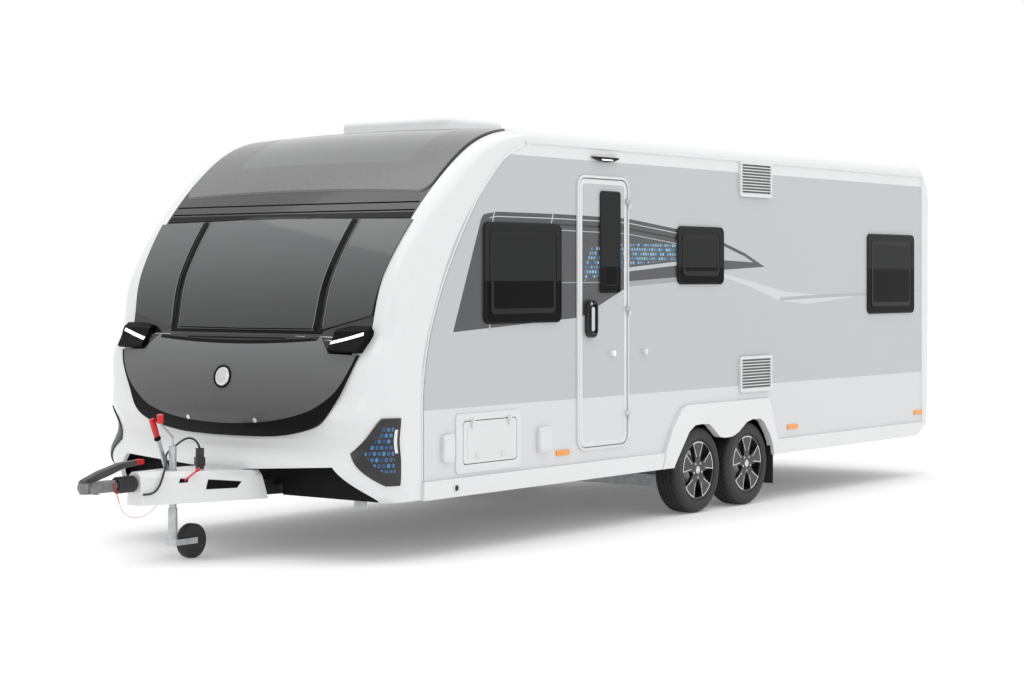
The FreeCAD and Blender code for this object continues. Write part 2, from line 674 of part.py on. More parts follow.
# Service hatch with its bin, hinged along the top
hatch_outer = (1870.0, 2505.0, 471.0, 823.0)
hatch_lid = (1940.0, 2462.0, 525.0, 775.0)
hatch_radius = 24.0
hatch_frame_proud = 8.0
hatch_lid_thickness = 16.0
hatch_bin_depth = 260.0
hatch_bin_wall = 5.0
hatch_pin_radius = 3.0
hatch_pin_length = 40.0
hatch_pin_y = half_width + 17.0
hatch_frame = side_panel(*hatch_outer, hatch_radius, half_width, half_width + hatch_frame_proud)
hatch_space = side_panel(hatch_lid[0] - door_gap, hatch_lid[1] + door_gap, hatch_lid[2] - door_gap, hatch_lid[3] + door_gap,
                         hatch_radius, wall_inner_y - overrun, half_width + overrun)
hatch_frame = hatch_frame.cut(hatch_space)
left_wall = left_wall.cut(hatch_space)
bin_outer = side_panel(hatch_lid[0] - overrun, hatch_lid[1] + overrun, hatch_lid[2] - overrun / 2, hatch_lid[3] + overrun / 2,
                       hatch_radius, wall_inner_y - hatch_bin_depth, wall_inner_y)
bin_inner = side_panel(hatch_lid[0] - door_gap, hatch_lid[1] + door_gap, hatch_lid[2] - door_gap, hatch_lid[3] + door_gap,
                       hatch_radius, wall_inner_y - hatch_bin_depth + hatch_bin_wall, wall_inner_y + overrun)
save("hatch_bin", bin_outer.cut(bin_inner))
lid_y = half_width - hatch_lid_thickness / 2
hatch = side_panel(*hatch_lid, hatch_radius, lid_y, lid_y + hatch_lid_thickness)
for tip in (hatch_lid[0] + 2 * overrun, hatch_lid[1] - 2 * overrun):
    start = Vector(at(tip) - hatch_pin_length / 2, hatch_pin_y, hatch_lid[3] + door_gap)
    end = start + Vector(hatch_pin_length, 0, 0)
    stand = box(start.x, start.x + hatch_pin_length / 3, half_width + hatch_frame_proud, hatch_pin_y, start.z, start.z + 3 * hatch_pin_radius)
    post = box(end.x - hatch_pin_length / 3, end.x, half_width + hatch_frame_proud, hatch_pin_y, start.z, start.z + 3 * hatch_pin_radius)
    hatch_frame = hatch_frame.fuse([rod(hatch_pin_radius, start, end), stand, post])
    eye_start = start + Vector(hatch_pin_length / 3 + running_clearance, 0, 0)
    eye_end = end - Vector(hatch_pin_length / 3 + running_clearance, 0, 0)
    eye = rod(2 * hatch_pin_radius, eye_start, eye_end)
    tab = box(eye_start.x, eye_end.x, lid_y + hatch_lid_thickness, hatch_pin_y + hatch_pin_radius, hatch_lid[3] - overrun, start.z)
    hatch = hatch.fuse([tab, eye])
    hatch = hatch.cut(rod(hatch_pin_radius + running_clearance, start, end))
save("hatch_frame", hatch_frame)
save("hatch_lid", hatch)
save("wall_left", left_wall)
save("wall_right", mirror(wall_with_windows))

# Roof with openings for its domes
dome_places = [(2960.0, 900.0, 600.0), (5000.0, 400.0, 400.0), (6900.0, 400.0, 400.0)]
dome_heights = [84.0, 46.0, 46.0]
roof_pivot = Vector(0, 0, 0)
roof_outer = section(roof_pivot, 1, 90, half_width, roof_edge_height + roof_crown, roof_edge_height, roof_corner_radius, wall_top_height)
roof_inner = section(roof_pivot, 1, 90, wall_inner_y, roof_edge_height + roof_crown - roof_thickness,
                     roof_edge_height - roof_thickness, roof_corner_radius - wall_thickness, wall_top_height - overrun)
roof_run = Vector(rear_joint_from_tip - front_pivot_from_tip, 0, 0)
roof = Part.Face(roof_outer).extrude(roof_run).cut(Part.Face(roof_inner).extrude(roof_run))
roof.translate(Vector(at(rear_joint_from_tip), 0, 0))
domes = []
dome_wall = 4.0
for (tip, across, along), height in zip(dome_places, dome_heights):
    foot = box(at(tip + along / 2), at(tip - along / 2), -across / 2, across / 2, roof_edge_height - roof_thickness,
               roof_edge_height + roof_crown + height)
    bulb = rounded(foot, Vector(0, 0, 1), overrun)
    upper = [edge for edge in bulb.Edges if edge.BoundBox.ZMin > roof_edge_height + roof_crown]
    bulb = bulb.makeFillet(height * 0.4, upper)
    hollow = box(at(tip + along / 2 - overrun), at(tip - along / 2 + overrun), overrun - across / 2, across / 2 - overrun,
                 0, roof_edge_height + roof_crown + height - 3 * dome_wall)
    above = Part.Face(section(roof_pivot, 1, 90, half_width, roof_edge_height + roof_crown, roof_edge_height, roof_corner_radius,
                              wall_top_height)).extrude(roof_run)
    above.translate(Vector(at(rear_joint_from_tip), 0, 0))
    domes.append(bulb.cut(above).cut(hollow))
    roof = roof.cut(hollow)
save("roof", roof)
save("roof_domes", *domes)

# Rear end panel with its window, and the lamps and handles on it
rear_panel = rear_block.cut(rear_inner)
rear_panel = rear_panel.cut(box(at(rear_joint_from_tip), at(0), -body_width, body_width, 0, 2 * wall_top_height))
rear_window_half_width = 780.0
rear_window_bottom_height = 1346.0
rear_window_top_height = 1975.0
rear_skin = end_block(skin_thickness, False).cut(rear_block)


def rear_outline(half, z0, z1, radius):
    return rounded(box(at(rear_joint_from_tip + overrun), at(2 * overall_length), -half, half, z0, z1), Vector(1, 0, 0), radius)


save("rear_window", rear_skin.common(rear_outline(rear_window_half_width, rear_window_bottom_height, rear_window_top_height, side_window_radius)))
rear_panel = rear_panel.cut(rear_outline(rear_window_half_width - side_window_frame, rear_window_bottom_height + side_window_frame,
                                         rear_window_top_height - side_window_frame, side_window_radius))
save("rear_panel", rear_panel)
rear_lamp_y = 900.0
rear_lamp_width = 130.0
rear_lamp_bottom_height = 640.0
rear_lamp_top_height = 1080.0
rear_lamp = rear_skin.common(box(at(rear_joint_from_tip + overrun), at(2 * overall_length), rear_lamp_y - rear_lamp_width / 2,
                                 rear_lamp_y + rear_lamp_width / 2, rear_lamp_bottom_height, rear_lamp_top_height))
save("rear_lamps", rear_lamp, mirror(rear_lamp))

# Skirts with the wheel surrounds. Each surround has a double arch over the wheels.
spat_rear_from_tip = 5690.0
spat_rear_top_from_tip = 5511.0
spat_front_points = [(4094.0, skirt_bottom_height), (4136.0, 471.0), (4218.0, 611.0), (4330.0, 728.0), (4400.0, spat_top_height)]
skirt_front_from_tip = side_joint_from_tip
skirt_kick_from_tip = 7930.0
spat_rear_points = [(spat_rear_top_from_tip, spat_top_height), (spat_rear_from_tip, skirt_bottom_height)]
spat_points = [(at(tip), height) for tip, height in spat_front_points + spat_rear_points]
strip_points = [(at(skirt_front_from_tip), skirt_bottom_height), (at(skirt_kick_from_tip), skirt_bottom_height),
                (at(rear_joint_from_tip), rear_bottom_height), (at(rear_joint_from_tip), skirt_top_height), (at(skirt_front_from_tip), skirt_top_height)]
skirt = side_prism(strip_points, half_width, half_width + skirt_thickness)
skirt = skirt.fuse(side_prism(spat_points, half_width, half_width + spat_thickness)).cut(arch)
save("skirt_left", skirt)
save("skirt_right", mirror(skirt))

# Mudflaps behind the rear wheels
mudflap_from_tip = 5600.0
mudflap_thickness = 8.0
mudflap_bottom_height = 129.0
mudflap = box(at(mudflap_from_tip), at(mudflap_from_tip + mudflap_thickness), tyre_inner_y + overrun / 2, half_width, mudflap_bottom_height,
              floor_underside_height)
save("mudflaps", mudflap, mirror(mudflap))

# Vents, each with slats, and the small raised covers on the door side
vents = [(5117.0, 5566.0, 2206.0, 2461.0), (5117.0, 5566.0, 810.0, 1067.0)]
vent_depth = 18.0
vent_border = 22.0
vent_back = 5.0
slat_count = 10
vent_solids = []
for tip0, tip1, z0, z1 in vents:
    body = side_panel(tip0, tip1, z0, z1, vent_border, half_width, half_width + vent_depth)
    body = body.cut(box(at(tip0 + vent_border), at(tip1 - vent_border), half_width + vent_back, half_width + overrun, z0 + vent_border, z1 - vent_border))
    pitch = (z1 - z0 - 2 * vent_border) / slat_count
    for n in range(slat_count):
        low = z0 + vent_border + n * pitch
        blade = side_prism([(at(tip0 + vent_border), low), (at(tip1 - vent_border), low),
                            (at(tip1 - vent_border), low + pitch / 3), (at(tip0 + vent_border), low + pitch / 3)],
                           half_width + vent_back, half_width + vent_depth - vent_back / 2)
        body = body.fuse(blade)
    vent_solids.append(body.removeSplitter())
save("vents", *vent_solids)
small_covers = [(1736.0, 1844.0, 547.0, 710.0), (2681.0, 2814.0, 547.0, 703.0)]
small_cover_depth = 22.0
wall_knob_foot = Vector(at(3885.0), half_width, knob_height)
wall_knob = rod(knob_radius, wall_knob_foot, wall_knob_foot + Vector(0, knob_length, 0))
save("small_covers", wall_knob, *[side_panel(*cover, hatch_radius, half_width, half_width + small_cover_depth) for cover in small_covers])

# Chassis: two stepped rails, cross members, and the drawbar arms that converge on the coupling
rail_y = rail_spacing / 2
rail_bottom_height = floor_underside_height - rail_height
rail_points = [(at(rail_front_from_tip), floor_underside_height), (at(rail_front_from_tip), arm_bottom_height),
               (at(rail_front_from_tip + 2 * rail_height), rail_bottom_height), (at(rail_step_from_tip), rail_bottom_height),
               (at(rail_step_from_tip + rail_height), floor_underside_height - rail_rear_height),
               (at(rail_rear_from_tip), floor_underside_height - rail_rear_height), (at(rail_rear_from_tip), floor_underside_height)]
rail = side_prism(rail_points, rail_y - rail_width / 2, rail_y + rail_width / 2)
channel_points = [(x, z + (section_wall if z < floor_underside_height else -section_wall)) for x, z in rail_points]
rail = rail.cut(side_prism(channel_points, rail_y - rail_width, rail_y + rail_width / 2 - section_wall))
steady_pivots = [1910.0, 7460.0]
steady_y = 760.0
cross_height = 80.0
cross_width = 60.0
cross_half_width = 830.0
members = []
for tip in [steady_pivots[0], 3300.0, 6000.0, steady_pivots[1]]:
    members.append(box(at(tip - cross_width / 2), at(tip + cross_width / 2), -cross_half_width, cross_half_width,
                       floor_underside_height - cross_height, floor_underside_height))
arm_top_height = arm_bottom_height + arm_height
arm_rear_from_tip = rail_front_from_tip + 2 * rail_width


def arm_solid():
    y0 = drawbar_front_spread / 2
    y1 = rail_y + rail_width / 2
    corners = [(at(drawbar_front_from_tip), y0), (at(arm_rear_from_tip), y1),
               (at(arm_rear_from_tip), y1 - rail_width), (at(drawbar_front_from_tip), y0 - rail_width * 0.75)]
    flat = [Vector(x, y, arm_bottom_height) for x, y in corners]
    whole = face_of(polygon_edges(flat)).extrude(Vector(0, 0, arm_height))
    under_floor = box(at(undertray_from_tip - overrun), at(overall_length), 0, body_width, floor_underside_height, 2 * arm_top_height)
    return whole.cut(under_floor)


arm = arm_solid()
bridge_half_width = 98.0
bridge = box(at(jockey_from_tip - rail_width), at(jockey_from_tip + rail_width), -bridge_half_width, bridge_half_width,
             arm_top_height - 2 * section_wall, arm_top_height)
tube_hole = rod(jockey_tube_radius, Vector(at(jockey_from_tip), 0, 0), Vector(at(jockey_from_tip), 0, body_width))
sleeve_hole = rod(jockey_sleeve_radius + moving_clearance, Vector(at(jockey_from_tip), 0, 0),
                  Vector(at(jockey_from_tip), 0, arm_top_height - 2 * section_wall))
shaft_space = rod(shaft_radius + running_clearance, Vector(at(0), 0, coupling_height), Vector(at(jockey_from_tip), 0, coupling_height))
ear_gap = 54.0
ear_thickness = 8.0
ear_radius = 26.0
steady_height = 336.0
steady_pin_radius = 8.0
ears = []
for tip in steady_pivots:
    for side in (-1, 1):
        for flank in (-1, 1):
            y = side * steady_y + flank * (ear_gap / 2 + ear_thickness / 2)
            ears.append(box(at(tip - ear_radius), at(tip + ear_radius), y - ear_thickness / 2, y + ear_thickness / 2,
                            steady_height - ear_radius, floor_underside_height))
        pin_half = ear_gap / 2 + ear_thickness
        ears.append(rod(steady_pin_radius, Vector(at(tip), side * steady_y - pin_half, steady_height),
                        Vector(at(tip), side * steady_y + pin_half, steady_height)))
passages = []
for tip in steady_pivots:
    for side in (-1, 1):
        y = side * steady_y
        passages.append(box(at(tip - overrun), at(tip + overrun), y - ear_gap / 2, y + ear_gap / 2, 0,
                            steady_height + ear_radius + 2 * ear_thickness))
members = [member.cut(passages) for member in members]
chassis = rail.fuse([mirror(rail), arm, mirror(arm), bridge] + members + ears)
chassis = chassis.cut([tube_hole, sleeve_hole, shaft_space]).removeSplitter()
save("chassis", chassis)

# Axles: a square beam, trailing arms, hubs and stubs
beam_size = 84.0
arm_reach = 150.0
arm_width = 40.0
hub_face_y = tyre_inner_y + tyre_width * 0.42
for name, tip in (("axle_front", front_axle_from_tip), ("axle_rear", rear_axle_from_tip)):
    beam_x = at(tip - arm_reach)
    beam_y = tyre_inner_y - arm_width - moving_clearance
    axle = box(beam_x - beam_size / 2, beam_x + beam_size / 2, -beam_y, beam_y, rail_bottom_height - beam_size, rail_bottom_height)
    for side in (-1, 1):
        swing = side_prism([(beam_x + beam_size / 2, rail_bottom_height), (beam_x + beam_size / 2, rail_bottom_height - beam_size),
                            (at(tip) - arm_width, hub_height - arm_width), (at(tip) - arm_width, hub_height + arm_width)],
                           side * beam_y, side * (beam_y + arm_width))
        hub_in = side * (hub_face_y - hub_length)
        hub = rod(hub_radius, Vector(at(tip), hub_in, hub_height), Vector(at(tip), side * hub_face_y, hub_height))
        boss = rod(2 * stub_radius, Vector(at(tip), side * beam_y, hub_height), Vector(at(tip), hub_in, hub_height))
        stub = rod(stub_radius, Vector(at(tip), side * hub_face_y, hub_height), Vector(at(tip), side * (tyre_outer_y - overrun), hub_height))
        axle = axle.fuse([swing, hub, boss, stub])
    save(name, axle.removeSplitter())

# Wheels: tyre and alloy rim, made once at the origin with the axle along +Y and moved to each place
rim_radius = rim_diameter / 2
tyre_radius = tyre_diameter / 2
rim_wall = 9.0
rim_disc = 22.0
rim_boss_radius = 62.0
rim_window_count = 5
bead_gap = 0.4


def tyre_shape():
    half = tyre_width / 2
    shoulder = tyre_width * 0.16
    points = [Vector(rim_radius + bead_gap, 0, -half + shoulder / 3), Vector(rim_radius + 3 * rim_wall, 0, -half),
              Vector(tyre_radius - shoulder, 0, -half), Vector(tyre_radius, 0, -half + shoulder), Vector(tyre_radius, 0, half - shoulder),
              Vector(tyre_radius - shoulder, 0, half), Vector(rim_radius + 3 * rim_wall, 0, half), Vector(rim_radius + bead_gap, 0, half - shoulder / 3)]
    solid = face_of(polygon_edges(points)).revolve(Vector(0, 0, 0), Vector(0, 0, 1), 360)
    edges = []
    for edge in solid.Edges:
        outer = edge.BoundBox.XMax > rim_radius + 2 * rim_wall and abs(edge.BoundBox.ZMax - edge.BoundBox.ZMin) < bead_gap
        if outer:
            edges.append(edge)
    solid = solid.makeFillet(shoulder * 0.4, edges)
    solid.rotate(Vector(0, 0, 0), Vector(1, 0, 0), -90)
    return solid


def rim_shape():
    half = tyre_width / 2 - rim_wall
    barrel = Part.makeCylinder(rim_radius, 2 * half, Vector(0, 0, -half))
    barrel = barrel.cut(Part.makeCylinder(rim_radius - rim_wall, 4 * half, Vector(0, 0, -2 * half)))
    disc = Part.makeCylinder(rim_radius - rim_wall / 2, rim_disc, Vector(0, 0, half - rim_disc))
    for n in range(rim_window_count):
        near, far = rim_boss_radius * 1.15, rim_radius - 2 * rim_wall
        points = [Vector(near, -0.16 * near, -half), Vector(far, -0.36 * far, -half), Vector(far * 1.03, 0, -half),
                  Vector(far, 0.36 * far, -half), Vector(near, 0.16 * near, -half)]
        window = face_of(polygon_edges(points)).extrude(Vector(0, 0, 3 * half))
        keep = Part.makeCylinder(rim_radius - 2 * rim_wall, 4 * half, Vector(0, 0, -2 * half))
        window = window.common(keep)
        window.rotate(Vector(0, 0, 0), Vector(0, 0, 1), 90 + n * 360 / rim_window_count)
        disc = disc.cut(window)
    boss = Part.makeCylinder(rim_boss_radius, rim_disc + 2 * rim_wall, Vector(0, 0, half - rim_disc - 2 * rim_wall))
    bore = Part.makeCylinder(stub_radius + running_clearance, 4 * half, Vector(0, 0, -3 * half - rim_wall))
    solid = barrel.fuse([disc, boss]).cut(bore).removeSplitter()
    solid.rotate(Vector(0, 0, 0), Vector(1, 0, 0), -90)
    return solid


tyre = tyre_shape()
rim = rim_shape()
wheel_centre_y = tyre_outer_y - tyre_width / 2
for name, tip in (("front", front_axle_from_tip), ("rear", rear_axle_from_tip)):
    place = Vector(at(tip), wheel_centre_y, hub_height)
    for kind, shape in (("tyre", tyre), ("rim", rim)):
        here = shape.copy()
        here.translate(place)
        save(kind + "_" + name + "_left", here)
        save(kind + "_" + name + "_right", mirror(here))

# Corner steadies, folded up under the floor
steady_length = 450.0
steady_width = 44.0
steady_depth = 36.0
foot_length = 110.0
foot_width = 96.0
foot_thickness = 6.0
for name, tip, way in (("front", steady_pivots[0], 1), ("rear", steady_pivots[1], -1)):
    for side_name, side in (("left", 1), ("right", -1)):
        x = at(tip)
        y = side * steady_y
        leg = box(x - way * steady_depth / 2, x + way * steady_length, y - steady_width / 2, y + steady_width / 2,
                  steady_height - steady_depth / 2, steady_height + steady_depth / 2)
        channel = box(x + way * steady_depth, x + way * (steady_length - foot_thickness), y - steady_width / 2 + section_wall,
                      y + steady_width / 2 - section_wall, steady_height - steady_depth, steady_height + steady_depth / 2 - section_wall)
        foot = box(x + way * (steady_length - foot_thickness), x + way * steady_length, y - foot_width / 2, y + foot_width / 2,
                   steady_height - foot_length / 2, steady_height + foot_length / 2)
        hole = rod(steady_pin_radius + running_clearance, Vector(x, y - steady_width, steady_height), Vector(x, y + steady_width, steady_height))
        save("steady_" + name + "_" + side_name, leg.cut(channel).fuse(foot).cut(hole))

# Coupling: head with the ball socket, shaft, bellows and handle
head_length = 240.0
head_nose = 58.0
head_shaft_lap = 18.0
head_half_width = 34.0
head_height = 62.0
pad_cap_radius = 35.0
pad_cap_length = 26.0
bellows_rear_from_tip = 388.0
bellows_front_from_tip = 250.0
bellows_radius = 48.0
bellows_ring_count = 5
head_rear_from_tip = ball_from_tip - head_nose + head_length
head = rounded(box(at(ball_from_tip - head_nose), at(head_rear_from_tip), -head_half_width, head_half_width,
                   coupling_height - head_height / 2, coupling_height + head_height / 2), Vector(0, 0, 1), head_half_width * 0.8)
socket_depth = 20.0
ball_x = at(ball_from_tip)
head_bottom_height = coupling_height - head_height / 2
ball_centre = Vector(ball_x, 0, head_bottom_height + socket_depth)
socket = rod(ball_socket_radius, Vector(ball_x, 0, head_bottom_height - overrun), ball_centre)
socket = socket.fuse(Part.makeSphere(ball_socket_radius, ball_centre))
cap_y = head_half_width + pad_cap_length
pad_caps = rod(pad_cap_radius, Vector(ball_x, -cap_y, coupling_height), Vector(ball_x, cap_y, coupling_height))
cap_cut = box(ball_x - 2 * head_nose, ball_x + 2 * head_nose, -head_half_width, head_half_width, 0, head_bottom_height)
shaft = rod(shaft_radius, Vector(at(head_rear_from_tip - head_shaft_lap), 0, coupling_height),
            Vector(at(jockey_from_tip - 2 * rail_width), 0, coupling_height))
coupling_head = head.fuse([pad_caps.cut(cap_cut), shaft]).cut(socket)
save("coupling_head", coupling_head)
bellows = rod(bellows_radius * 0.82, Vector(at(bellows_front_from_tip), 0, coupling_height), Vector(at(bellows_rear_from_tip), 0, coupling_height))
ring_pitch = (bellows_rear_from_tip - bellows_front_from_tip) / bellows_ring_count
for n in range(bellows_ring_count):
    x = at(bellows_front_from_tip + (n + 0.5) * ring_pitch)
    ring = Part.makeCone(bellows_radius, bellows_radius * 0.8, ring_pitch / 2, Vector(x, 0, coupling_height), Vector(1, 0, 0))
    back = Part.makeCone(bellows_radius, bellows_radius * 0.8, ring_pitch / 2, Vector(x, 0, coupling_height), Vector(-1, 0, 0))
    bellows = bellows.fuse([ring, back])
bellows = bellows.cut(rod(shaft_radius, Vector(at(0), 0, coupling_height), Vector(at(overall_length), 0, coupling_height))).cut(coupling_head)
save("bellows", bellows)

# Handle over the coupling head: a curved lever, its outline as shares of its length and rise
handle_length = 450.0
handle_rise = 104.0
handle_half_width = 24.0
handle_line_shares = [(0.0, 0.02), (0.04, 0.16), (0.3, 0.55), (0.62, 0.88), (1.0, 1.0)]
handle_under_shares = [(1.0, 0.74), (0.66, 0.60), (0.42, 0.28), (0.16, 0.0), (0.0, 0.0)]
handle_points = []
for along, up in handle_line_shares + handle_under_shares:
    handle_points.append((at(along * handle_length), coupling_height + head_height / 2 + up * handle_rise))
tow_handle = side_prism(handle_points, -handle_half_width, handle_half_width).cut(coupling_head)
save("coupling_handle", tow_handle)

# Jockey wheel: fixed tube with its clamp and crank, sliding sleeve, swivelling fork and wheel
jockey_x = at(jockey_from_tip)
crank_top_height = 844.0
crank_reach = 97.0
clamp_height = 50.0
jockey_tube_bottom_height = 252.0
fixed_tube = rod(jockey_tube_radius, Vector(jockey_x, 0, jockey_tube_bottom_height), Vector(jockey_x, 0, jockey_tube_top_height))
clamp = rod(jockey_tube_radius + 2 * section_wall, Vector(jockey_x, 0, arm_top_height), Vector(jockey_x, 0, arm_top_height + clamp_height))
crank_rod = rod(section_wall, Vector(jockey_x, 0, jockey_tube_top_height), Vector(jockey_x, 0, jockey_tube_top_height + clamp_height))
crank_end = Vector(jockey_x + crank_reach, 0, crank_top_height - clamp_height)
crank_arm = rod(section_wall, Vector(jockey_x, 0, jockey_tube_top_height + clamp_height), crank_end)
knob = rod(3 * section_wall, crank_end, crank_end + Vector(0, 0, clamp_height))
save("jockey_tube", fixed_tube.fuse([clamp, crank_rod, crank_arm, knob]))
sleeve_bottom_height = 85.0
sleeve_top_height = 300.0
collar_bottom_height = 86.0
collar_height = 34.0
sleeve = rod(jockey_sleeve_radius, Vector(jockey_x, 0, sleeve_bottom_height), Vector(jockey_x, 0, sleeve_top_height))
flange = rod(jockey_sleeve_radius + section_wall, Vector(jockey_x, 0, collar_bottom_height + collar_height + running_clearance),
             Vector(jockey_x, 0, collar_bottom_height + collar_height + section_wall))
sleeve = sleeve.fuse(flange).cut(rod(jockey_tube_radius + running_clearance, Vector(jockey_x, 0, jockey_wheel_radius), Vector(jockey_x, 0, body_width)))
save("jockey_sleeve", sleeve)
fork_plate = 5.0
fork_half_width = jockey_wheel_width / 2 + moving_clearance
collar = rod(fork_half_width + fork_plate / 2, Vector(jockey_x, 0, collar_bottom_height), Vector(jockey_x, 0, collar_bottom_height + collar_height))
axle_x = jockey_x - jockey_trail
fork = collar
for side in (-1, 1):
    plate = box(axle_x - collar_height / 2, jockey_x, side * fork_half_width, side * (fork_half_width + fork_plate),
                collar_bottom_height, collar_bottom_height + collar_height)
    fork = fork.fuse(plate)
fork = fork.fuse(rod(section_wall, Vector(axle_x, -fork_half_width - fork_plate, jockey_wheel_radius), Vector(axle_x, fork_half_width + fork_plate, jockey_wheel_radius)))
fork = fork.cut(rod(jockey_sleeve_radius + running_clearance, Vector(jockey_x, 0, 0), Vector(jockey_x, 0, sleeve_top_height)))
save("jockey_fork", fork)
small_wheel = rod(jockey_wheel_radius, Vector(axle_x, -jockey_wheel_width / 2, jockey_wheel_radius), Vector(axle_x, jockey_wheel_width / 2, jockey_wheel_radius))
small_wheel = small_wheel.makeFillet(section_wall, [e for e in small_wheel.Edges if e.Closed])
small_wheel = small_wheel.cut(rod(section_wall + running_clearance, Vector(axle_x, -body_width, jockey_wheel_radius), Vector(axle_x, body_width, jockey_wheel_radius)))
save("jockey_wheel", small_wheel)

# Handbrake lever with its grip
brake_foot = Vector(at(722.0), 0, arm_top_height)
brake_top = Vector(at(576.0), 0, 812.0)
brake_y = -3.0 * section_wall - jockey_tube_radius
brake_width = 14.0
brake_depth = 26.0
lean = brake_top - brake_foot
across = Vector(-lean.z, 0, lean.x).normalize() * (brake_depth / 2)
brake_points = [brake_foot - across, brake_foot + across, brake_top + across, brake_top - across]
brake_plate = side_prism([(p.x, p.z) for p in brake_points], brake_y - brake_width, brake_y)
save("handbrake_lever", brake_plate.cut(chassis))

# Drawbar cover: a moulded hood over the drawbar
cover_front_from_tip = 395.0
cover_rear_from_tip = 1132.0
cover_front_half_width = 60.0
cover_rear_half_width = 336.0
cover_bottom_height = 341.0
cover_front_top_height = 530.0
cover_rear_top_height = 504.0
cover_front_draft = 10.0
cover_rear_draft = 48.0
cover_corner = 30.0
cover_corner_share = 0.8
cover_wall = 6.0
brake_slot_front_from_tip = 600.0
brake_slot_rear_from_tip = 740.0


def hood(inset):
    wires = []
    ends = [(cover_front_from_tip + inset, cover_front_half_width, cover_front_top_height, cover_front_draft),
            (cover_rear_from_tip + 2 * inset, cover_rear_half_width, cover_rear_top_height, cover_rear_draft)]
    for tip, half, height, draft in ends:
        foot_half = half - inset
        top_half = foot_half - draft
        top = height - inset
        low = cover_bottom_height - (overrun if inset else 0)
        corner = min(cover_corner, top_half * cover_corner_share)
        points = [Vector(at(tip), -foot_half, low), Vector(at(tip), foot_half, low), Vector(at(tip), top_half, top - corner),
                  Vector(at(tip), top_half - corner, top), Vector(at(tip), corner - top_half, top), Vector(at(tip), -top_half, top - corner)]
        wires.append(Part.Wire(polygon_edges(points)))
    return Part.makeLoft(wires, True, True)


cover = hood(0).cut(hood(cover_wall)).cut(front_panel)
cover = cover.cut(rod(jockey_sleeve_radius + moving_clearance, Vector(jockey_x, 0, 0), Vector(jockey_x, 0, body_width)))
cover = cover.cut(rod(shaft_radius + section_wall, Vector(at(0), 0, coupling_height), Vector(at(jockey_from_tip), 0, coupling_height)))
brake_slot = box(at(brake_slot_front_from_tip), at(brake_slot_rear_from_tip), brake_y - 2 * brake_width, brake_y + brake_width, coupling_height, body_width)
cover = cover.cut(brake_slot)
save("drawbar_cover", cover)

# Cables at the drawbar: the electric cable with its plug parked on the cover, and the breakaway cable
cable_diameter = 12.0
cable_points = [(405.0, 61.0, 405.0), (432.0, 86.0, 405.0), (466.0, 97.0, 418.0), (492.0, 105.0, 452.0), (508.0, 108.0, 492.0),
                (528.0, 104.0, 532.0), (560.0, 84.0, 565.0), (603.0, 44.0, 588.0), (650.0, -13.0, 602.0), (690.0, -37.0, 622.0),
                (738.0, -34.0, 648.0), (788.0, -22.0, 684.0), (835.0, -15.0, 697.0), (872.0, -8.0, 686.0), (898.0, -2.0, 660.0),
                (910.0, 0.0, 632.0)]
coil_diameter = 14.0
coil_points = [(205.0, 42.0, 488.0), (217.0, 43.0, 450.0), (231.0, 44.0, 406.0), (244.0, 46.0, 363.0)]
loop_diameter = 5.0
loop_points = [(244.0, 46.0, 363.0), (260.0, 45.0, 330.0), (288.0, 43.0, 303.0), (325.0, 40.0, 284.0), (372.0, 37.0, 275.0),
               (425.0, 34.0, 277.0), (475.0, 33.0, 292.0), (515.0, 38.0, 315.0), (536.0, 45.0, 350.0)]
cord_tangent_share = 0.45
plug_radius = 25.0
plug_lug_half_width = 34.0
plug_lug_half_depth = 12.0
plug_top_height = cable_points[-1][2]
plug_bottom_height = 480.0


def cord(points, diameter):
    """A round cord along straight runs joined by tangent arcs."""
    route = [Vector(at(tip), y, z) for tip, y, z in points]
    last = route[0]
    edges = []
    radii = []
    for before, corner, after in zip(route, route[1:], route[2:]):
        back = before - corner
        ahead = after - corner
        tangent = cord_tangent_share * min(back.Length, ahead.Length)
        half_turn = (math.pi - back.getAngle(ahead)) / 2
        radius = tangent / math.tan(half_turn)
        radii.append(radius)
        enter = corner + back.normalize() * tangent
        leave = corner + ahead.normalize() * tangent
        inward = (enter + leave) / 2 - corner
        reach = radius / math.cos(half_turn) - radius
        middle = corner + inward.normalize() * reach
        edges.append(Part.LineSegment(last, enter).toShape())
        edges.append(Part.Arc(enter, middle, leave).toShape())
        last = leave
    edges.append(Part.LineSegment(last, route[-1]).toShape())
    path = Part.Wire(edges)
    circle = Part.Wire(Part.makeCircle(diameter / 2, route[0], route[1] - route[0]))
    tube = path.makePipeShell([circle], True, False)
    print("cord radii in diameters", round(min(radii) / diameter, 1), "volume share",
          round(tube.Volume / (math.pi * diameter ** 2 / 4 * path.Length), 3))
    return tube


plug_x = at(cable_points[-1][0])
plug = rod(plug_radius, Vector(plug_x, 0, plug_bottom_height), Vector(plug_x, 0, plug_top_height))
lug = box(plug_x - plug_lug_half_depth, plug_x + plug_lug_half_depth, -plug_lug_half_width, plug_lug_half_width,
          cover_front_top_height, cover_front_top_height + 2 * plug_radius)
plug = plug.fuse(lug).cut(hood(0))
save("tow_plug", plug)
save("tow_cable", cord(cable_points, cable_diameter).cut(plug).cut(hood(0)))
save("breakaway_cable", cord(coil_points, coil_diameter), cord(loop_points, loop_diameter).cut(chassis))
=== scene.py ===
import bpy
import bmesh
import math
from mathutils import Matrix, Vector
from mathutils.bvhtree import BVHTree


